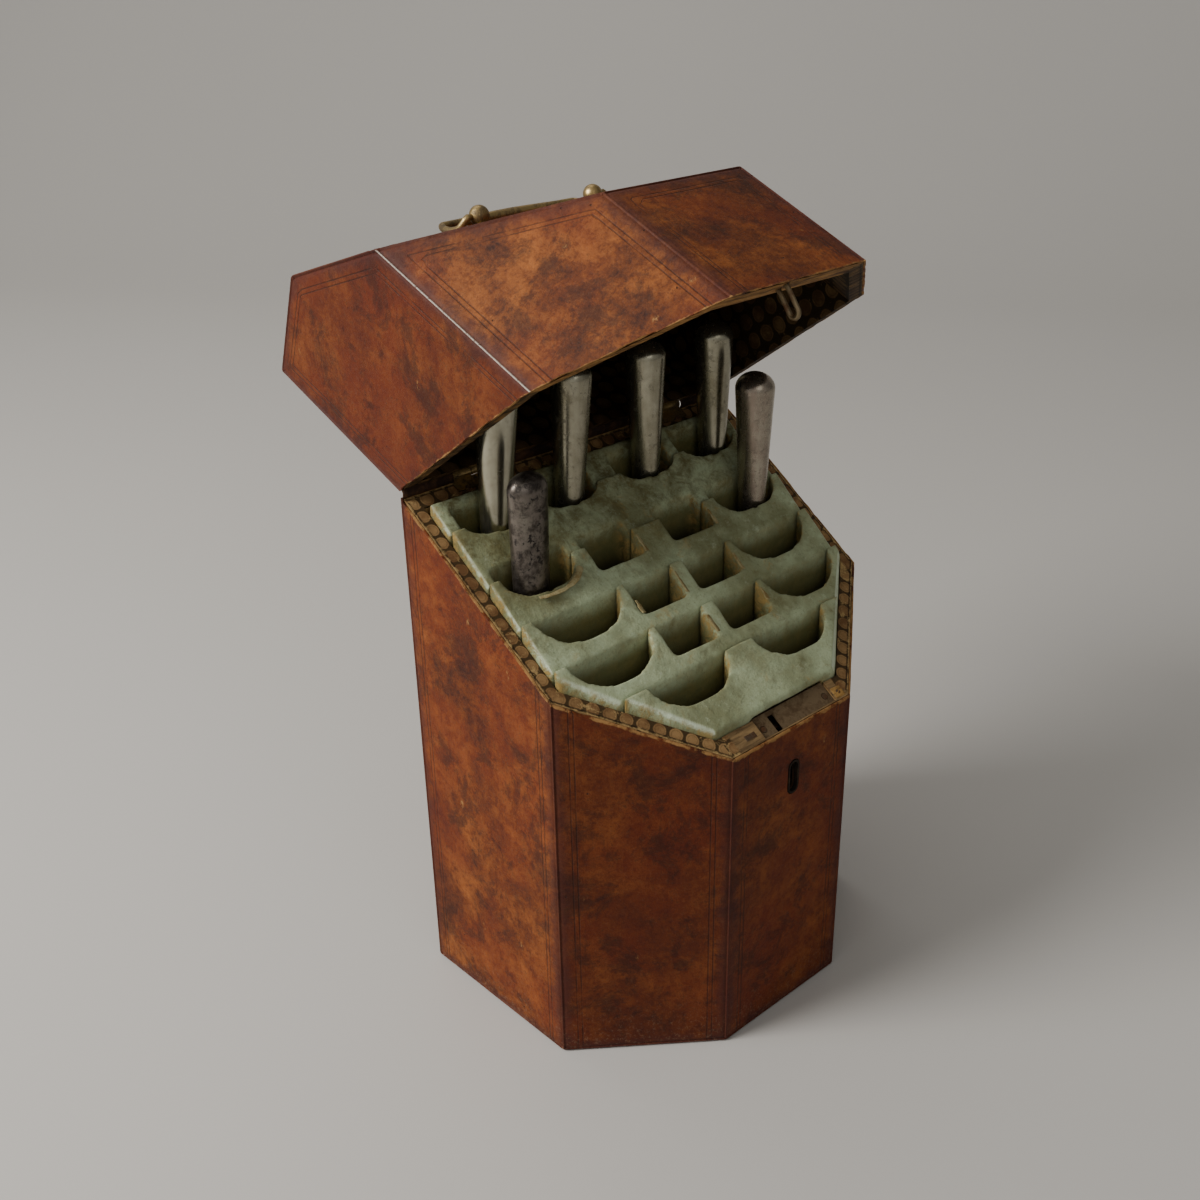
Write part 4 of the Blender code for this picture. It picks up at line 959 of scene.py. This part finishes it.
def staplePiece():
    form = stapleForm
    half = (form["width"] - form["wire"]) / 2
    gap = caseForm["lidGap"]
    bend = form["length"] - form["wire"] / 2 - half - gap
    x = form["shift"] * (caseForm["width"] - 2 * caseForm["cantWidth"])
    points = []
    for side in (-half, half):
        rim = onRim(x, form["inset"] + side) + mouthOut * gap
        leg = [rim + up * form["shank"], rim + up * form["blend"], rim - mouthOut * form["blend"]]
        leg += [onRim(x, form["inset"] + side * cosine) - mouthOut * (bend + half * sine)
                for sine, cosine in [(0, 1)] + quarterTurn(form["steps"])]
        points += leg if side < 0 else list(reversed(leg))[1:]
    points = smoothPath(points)
    bm = tube(points, [form["wire"] / 2] * len(points), form["sides"])
    bm.transform(lidOpen)
    newPiece("stapleLoop", bm, patinaFinish("stapleIron"), "lid", ["staple"], 50)


bailGrip()
bailPosts()
staplePiece()
print("bail and staple done")


# Dry leather, torn paper and bare wood

def dryFinish(name, specular, cloud, lows, colours, grain, flecks, rough, depth, stretch=1):
    dry = Finish(name, specular)
    patch = dry.noise(cloud, 5, 0.7, where=dry.stretched(stretch, 1, 1))
    fine = dry.noise(grain, 4, 0.75)
    dry.colour = dry.mix(patch.rise(*lows), *colours)
    dry.lay(fine.rise(*flecks[:2]) * 0.5, flecks[2])
    return dry.paint(rough[0] + fine * rough[1], fine + patch, depth)


jointLeather = dryFinish("jointLeather", 0.25, 9, (0.4, 0.65),
                         ((0.022, 0.010, 0.006), (0.085, 0.040, 0.016)),
                         1.0, (0.6, 0.75, (0.24, 0.15, 0.06)), (0.75, 0.15), 0.25 * mm)
tornSheet = dryFinish("tornPaper", 0.1, 5, (0.42, 0.62),
                      ((0.34, 0.29, 0.15), (0.24, 0.17, 0.065)),
                      0.9, (0.55, 0.7, (0.42, 0.42, 0.28)), (0.85, 0.1), 0.2 * mm)
ochreWood = dryFinish("ochreWood", 0.2, 4, (0.40, 0.64),
                      ((0.36, 0.205, 0.060), (0.15, 0.080, 0.026)),
                      0.9, (0.58, 0.74, (0.05, 0.030, 0.014)), (0.80, 0.15), 0.25 * mm,
                      stretch=0.4)


# Leather strips over the joint at the back

stripForm = lengths(thick=0.5, sag=1.3, inset=0.9, drop=0.5, rise=1.4, ripple=0.15)
stripForm |= dict(spans=[(-99, -71.6), (-38.4, 38.4), (71.6, 99)], steps=6, columns=13,
                  past=0.08)


def jointStrips(material):
    form = stripForm
    low = Vector((0, halfDeep - form["inset"], heightAt(halfDeep) - form["drop"]))
    high = lidOpen @ (low + mouthOut * form["rise"])
    across = (high - low).normalized()
    inward = Vector((0, -across.z, across.y))
    for number, (left, end) in enumerate(form["spans"], 1):
        def point(thick, along, aside):
            place = low.lerp(high, along * (1 + 2 * form["past"]) - form["past"])
            place += inward * (sin(pi * along) * form["sag"] + thick)
            place.x = (left + (end - left) * aside) * mm
            return place + inward * form["ripple"] * bumpAt(place, 6, 8)

        bm = bmesh.new()
        slab(bm, *(pointGrid(bm, form["steps"], form["columns"], partial(point, thick))
                   for thick in (0, form["thick"])))
        piece = newPiece(f"jointLeather{number}", bm, material, "case", (), 180)
        piece.parent = None
        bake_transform(piece, "case", "lid", start=tuple(low), end=tuple(high))


# Screws of the hinges

screwForm = lengths(radius=1.5, place=6.2, height=0.42, slotHalf=0.24, slotDepth=0.22,
                    sunk=0.2, onLid=0.42, onCase=0.05)
screwForm |= dict(centres=(-55 * mm, 55 * mm), offsets=(-11.3 * mm, 11.3 * mm), sides=24)


def screwHead(name, place, facing, body, turn):
    form = screwForm
    radius = form["radius"]
    bm = turnedForm([(0, form["height"]), (radius * 0.55, 0.38 * mm), (radius * 0.88, 0.22 * mm),
                     (radius, 0.02 * mm), (radius, -0.35 * mm), (0, -0.35 * mm)], form["sides"])
    for vert in bm.verts:  # a slot pressed across the head
        if vert.co.z > 0.1 * mm and abs(vert.co.y) < form["slotHalf"]:
            vert.co.z -= form["slotDepth"]
    basis = facing.to_track_quat("Z", "Y").to_matrix().to_4x4()
    bm.transform(Matrix.Translation(place) @ basis @ Matrix.Rotation(turn, 4, "Z"))
    newPiece(name, bm, iron, body, (), 40)


def hingeScrews():
    rim = Vector((0, halfDeep, heightAt(halfDeep))) - mouthAlong * screwForm["place"]
    number = 0
    for centre in screwForm["centres"]:
        for offset in screwForm["offsets"]:
            place = rim + right * (centre + offset)
            onCase, onLid = (place + mouthOut * screwForm[key] for key in ("onCase", "onLid"))
            for body, head, facing in (("case", onCase, mouthOut),
                                       ("lid", lidOpen @ onLid, lidOpen.to_3x3() @ -mouthOut)):
                number += 1
                screwHead(f"hingeScrew{number}", head - facing * screwForm["sunk"], facing,
                          body, 0.7 * number)


# Paper torn up along the pockets: a long curl before the short knife, scraps at square ones

tornForm = {
    "arc": lengths(centre=-66, half=20.6, reach=11.1, size=1.5),
    "arcSeam": 2, "arcSteps": 16, "from": 112, "turn": 84, "square": 0.86,
    "walls": [(-9.5, 2, 1.5, 9.5), (36.6, 2, 2.5, 10), (-4.9, 3, 1.5, 11.5), (31.9, 3, 4, 12),
              (-4.9, 4, 3, 11), (31.9, 4, 2, 8), (-33.0, 3, 6, 12)],  # x, seam, from, to, in mm
    "wallSize": 1.15 * mm, "wallSteps": 7, "waver": 0.4 * mm, "sunk": 0.25 * mm,
    "thick": 0.3 * mm,
}


def tornStrip(bm, path, size, seed):  # path: x, y and the way out of the pocket
    lines = []
    for step, (x, y, outward) in enumerate(path):
        share = step / (len(path) - 1)
        index = next(index for index in range(1, len(seams)) if y >= seams[index])
        base = Vector((x, y, heightAt(y))) + mouthOut * (stripTop(index, y) - tornForm["sunk"])
        lift = size * (0.45 + 0.75 * share ** 2 + 0.5 * bumpAt(base, 2.2, seed))
        wide = size * (0.75 + 0.6 * share + 0.6 * bumpAt(base, 1.6, seed + 5))
        lines.append([bm.verts.new(base + outward * wide * out + mouthOut * lift * above)
                      for out, above in ((1, 0), (0.3, 0.5), (-0.4, 1), (-0.9, 0.7))])
    cover(bm, lines)


def tornPaper(material):
    form = tornForm
    arc = form["arc"]
    bm = bmesh.new()
    path = []
    for step in range(form["arcSteps"] + 1):
        angle = radians(form["from"] - form["turn"] * step / form["arcSteps"])
        across = copysign(abs(cos(angle)) ** form["square"], cos(angle))
        outward = Vector((cos(angle) * 0.5, -sin(angle), 0)).normalized()
        path.append((arc["centre"] + arc["half"] * across,
                     seams[form["arcSeam"]] - arc["reach"] * sin(angle), outward))
    tornStrip(bm, path, arc["size"], 20)
    for number, (x, seam, start, stop) in enumerate(form["walls"]):
        path = []
        for step in range(form["wallSteps"] + 1):
            y = seams[seam] - (start + (stop - start) * step / form["wallSteps"]) * mm
            waver = form["waver"] * bumpAt(Vector((x * mm, y, 0)), 2, number)
            path.append((x * mm + waver, y, right))
        tornStrip(bm, path, form["wallSize"], 30 + number)
    piece = newPiece("tornPaper", bm, material, "case", (), 180)
    modified(piece, "SOLIDIFY", thickness=form["thick"], offset=0)
    modified(piece, "SUBSURF", levels=2, render_levels=2)


# A worn block of wood, a bit of iron and a screw that show at the front of the case's rim

rimBitForm = lengths(rise=0.22, round=0.35, deep=1.0, ragged=0.9)
# From and to across the front, from and to behind its edge, in mm
rimBitForm |= dict(rimBlock=(31.4, 38.8, 1.9, 8.8), rimIron=(-27.5, -19.5, 4.8, 8.4),
                   screw=(35.2 * mm, 5.35 * mm), columns=10, rows=7)


def rimBit(name, material):
    form = rimBitForm
    left, end, near, far = (size * mm for size in form[name])

    def point(isTop, aside, along):
        place = onRim(left + (end - left) * aside, near + (far - near) * along)
        onEdge = aside in (0, 1) or along in (0, 1)
        if isTop:
            rise = form["rise"] * (0.7 + 0.3 * bumpAt(place, 2.6, 9))
            place += mouthOut * (rise - (form["round"] if onEdge else 0))
        else:
            place -= mouthOut * form["deep"]
        if onEdge:
            pull = right * (0.5 - aside) + mouthAlong * (0.5 - along)
            place += pull * form["ragged"] * (1 + bumpAt(place, 1.7, 12))
        return place

    bm = bmesh.new()
    slab(bm, *(pointGrid(bm, form["columns"], form["rows"], partial(point, isTop))
               for isTop in (False, True)))
    newPiece(name, bm, material, "case", (), 60)


jointStrips(jointLeather)
hingeScrews()
rimBit("rimBlock", ochreWood)
rimBit("rimIron", iron)
screwHead("rimScrew", onRim(*rimBitForm["screw"]) - mouthOut * 0.1 * mm, mouthOut, "case", 0.5)
tornPaper(tornSheet)
print("strips, screws and torn paper done")


# Wood, felt and the plain nodes

woodLooks = {"deal": ((0.40, 0.25, 0.10), (0.17, 0.090, 0.035)),
             "lidDeal": ((0.34, 0.20, 0.08), (0.14, 0.075, 0.03)),
             "felt": ((0.055, 0.060, 0.035), (0.13, 0.12, 0.07)), "fluff": (0.18, 0.16, 0.10)}


def woodFinish(name, light, dark):
    wood = Finish(name)
    grain = wood.noise(2.4, 5, 0.6, where=wood.stretched(1, 0.08, 0.08), lump=0.3)
    rings = wood.noise(14, 4, 0.6, where=wood.stretched(0.12, 1, 0.4), lump=1.2)
    wood.colour = wood.mix((grain * 0.6 + rings * 0.5).rise(0.35, 0.75), light, dark)
    wood.lay(wood.noise(20, 4).rise(0.5, 0.7) * 0.4, dark)
    return wood.paint(0.66 + grain * 0.2, grain, 0.25 * mm)


def feltFinish():
    felt = Finish("baseFelt")
    fibre = felt.noise(0.9, 4, 0.8)
    felt.colour = felt.mix(felt.noise(24, 4), *woodLooks["felt"])
    felt.lay(fibre.rise(0.5, 0.7) * 0.4, woodLooks["fluff"])
    return felt.paint(0.88 + fibre * 0.1, fibre, 0.3 * mm)


plain = {"deal_board": woodFinish("dealBoard", *woodLooks["deal"]), "base_paper": feltFinish(),
         "old_brass": brass, "dark_iron": iron, "blade_steel": patinaFinish("bladeSteel"),
         "sage_tray": sage}
lidDeal = woodFinish("lidDeal", *woodLooks["lidDeal"])
special = {"keyhole_liner": patinaFinish("linerBrassPaintedShade"),
           "lock_selvage": patinaFinish("selvageIron")}
for name, node in nodes.items():
    slot = node.data.materials[0].name.split(".")[0] if node.data.materials else ""
    if slot in plain:
        node.data.materials.clear()
        inLid = slot == "deal_board" and name.startswith("lid_")
        node.data.materials.append(special.get(name) or (lidDeal if inLid else plain[slot]))
print("plain nodes done")


# Room: floor that sweeps up behind, soft lights, camera

roomForm = dict(
    floor=(0.50, 0.485, 0.46), world=0.60, aim=(0, 0, 0.2),
    bright=(1.0, 0.98, 0.94), dim=(0.16, 0.155, 0.145),  # its window is on the left
    lamps=[("key", (-1.32, 0.58, 1.20), 0.9, 37, (1.0, 0.97, 0.93)),
           ("fill", (-0.5, -1.5, 1.3), 1.2, 2.5, (1.0, 0.98, 0.96)),
           ("back", (0.2, 0.9, 1.6), 1.2, 4, (1.0, 0.97, 0.94))],
    # The floor in metres, turned to face the camera
    low=-0.02 * mm, near=-2.5, far=1.2, radius=1.0, height=3.2, half=3.5, turn=46, steps=16,
)


def buildRoom():
    form = roomForm
    low, far, radius = form["low"], form["far"], form["radius"]
    rows = [(form["near"], low), (far, low)]
    rows += [(far + radius * sine, low + radius * (1 - cosine))
             for sine, cosine in quarterTurn(form["steps"])]
    rows.append((far + radius, form["height"]))
    turn = Matrix.Rotation(-radians(form["turn"]), 4, "Z")
    bm = bmesh.new()
    cover(bm, [[bm.verts.new(turn @ Vector((x, y, z))) for y, z in rows]
               for x in (form["half"], -form["half"])])
    sweep = placed("sweep", meshFrom("sweep", bm))
    sweep.data.shade_smooth()
    paper = Finish("sweepPaper")
    shade = tuple(part * 0.95 for part in form["floor"])
    paper.colour = paper.mix(paper.noise(700, 2), form["floor"], shade)
    sweep.data.materials.append(paper.paint(0.8))

    world = bpy.data.worlds.new("softRoom")
    bpy.context.scene.world = world
    world.use_nodes = True
    sky = Nodes(world.node_tree)
    look = sky.split(sky.node("TexCoord", {}, {}, "Generated"))[0]
    span = sky.node("MapRange", {}, {"Value": look, "From Min": -1, "From Max": 1})
    background = world.node_tree.nodes["Background"]
    sky.feed(background.inputs[0], sky.ramp(span, (0, form["bright"]), (1, form["dim"])))
    sky.feed(background.inputs[1], form["world"])
    for name, place, size, power, colour in form["lamps"]:
        data = bpy.data.lights.new(name, "AREA")
        data.shape, data.size, data.energy, data.color = "DISK", size, power, colour
        lamp = placed(name, data)
        lamp.location = place
        aim = Vector(form["aim"]) - lamp.location
        lamp.rotation_euler = aim.to_track_quat("-Z", "Y").to_euler()


# Focal length, shift and side in the photograph's pixels, angles in degrees, place in metres
cameraForm = {"focal": 1491.53, "yaw": 46.48, "pitch": 27.63, "roll": 1.26, "sensor": 36,
              "place": (-0.43751, -0.44318, 0.5194), "shift": (122.09, 10.04), "side": 1200}


def buildCamera():
    form = cameraForm
    yaw, pitch, roll = (radians(form[key]) for key in ("yaw", "pitch", "roll"))
    data = bpy.data.cameras.new("viewer")
    data.sensor_width = form["sensor"]
    data.lens = form["focal"] / form["side"] * form["sensor"]
    data.shift_x = -form["shift"][0] / form["side"]
    data.shift_y = form["shift"][1] / form["side"]
    data.clip_start = 0.02
    camera = placed("viewer", data)
    camera.matrix_world = (
        Matrix.Translation(form["place"]) @ Matrix.Rotation(-yaw, 4, "Z")
        @ Matrix.Rotation(pi / 2 - pitch, 4, "X") @ Matrix.Rotation(roll, 4, "Z"))
    bpy.context.scene.camera = camera


buildRoom()
buildCamera()
print("room and camera done")
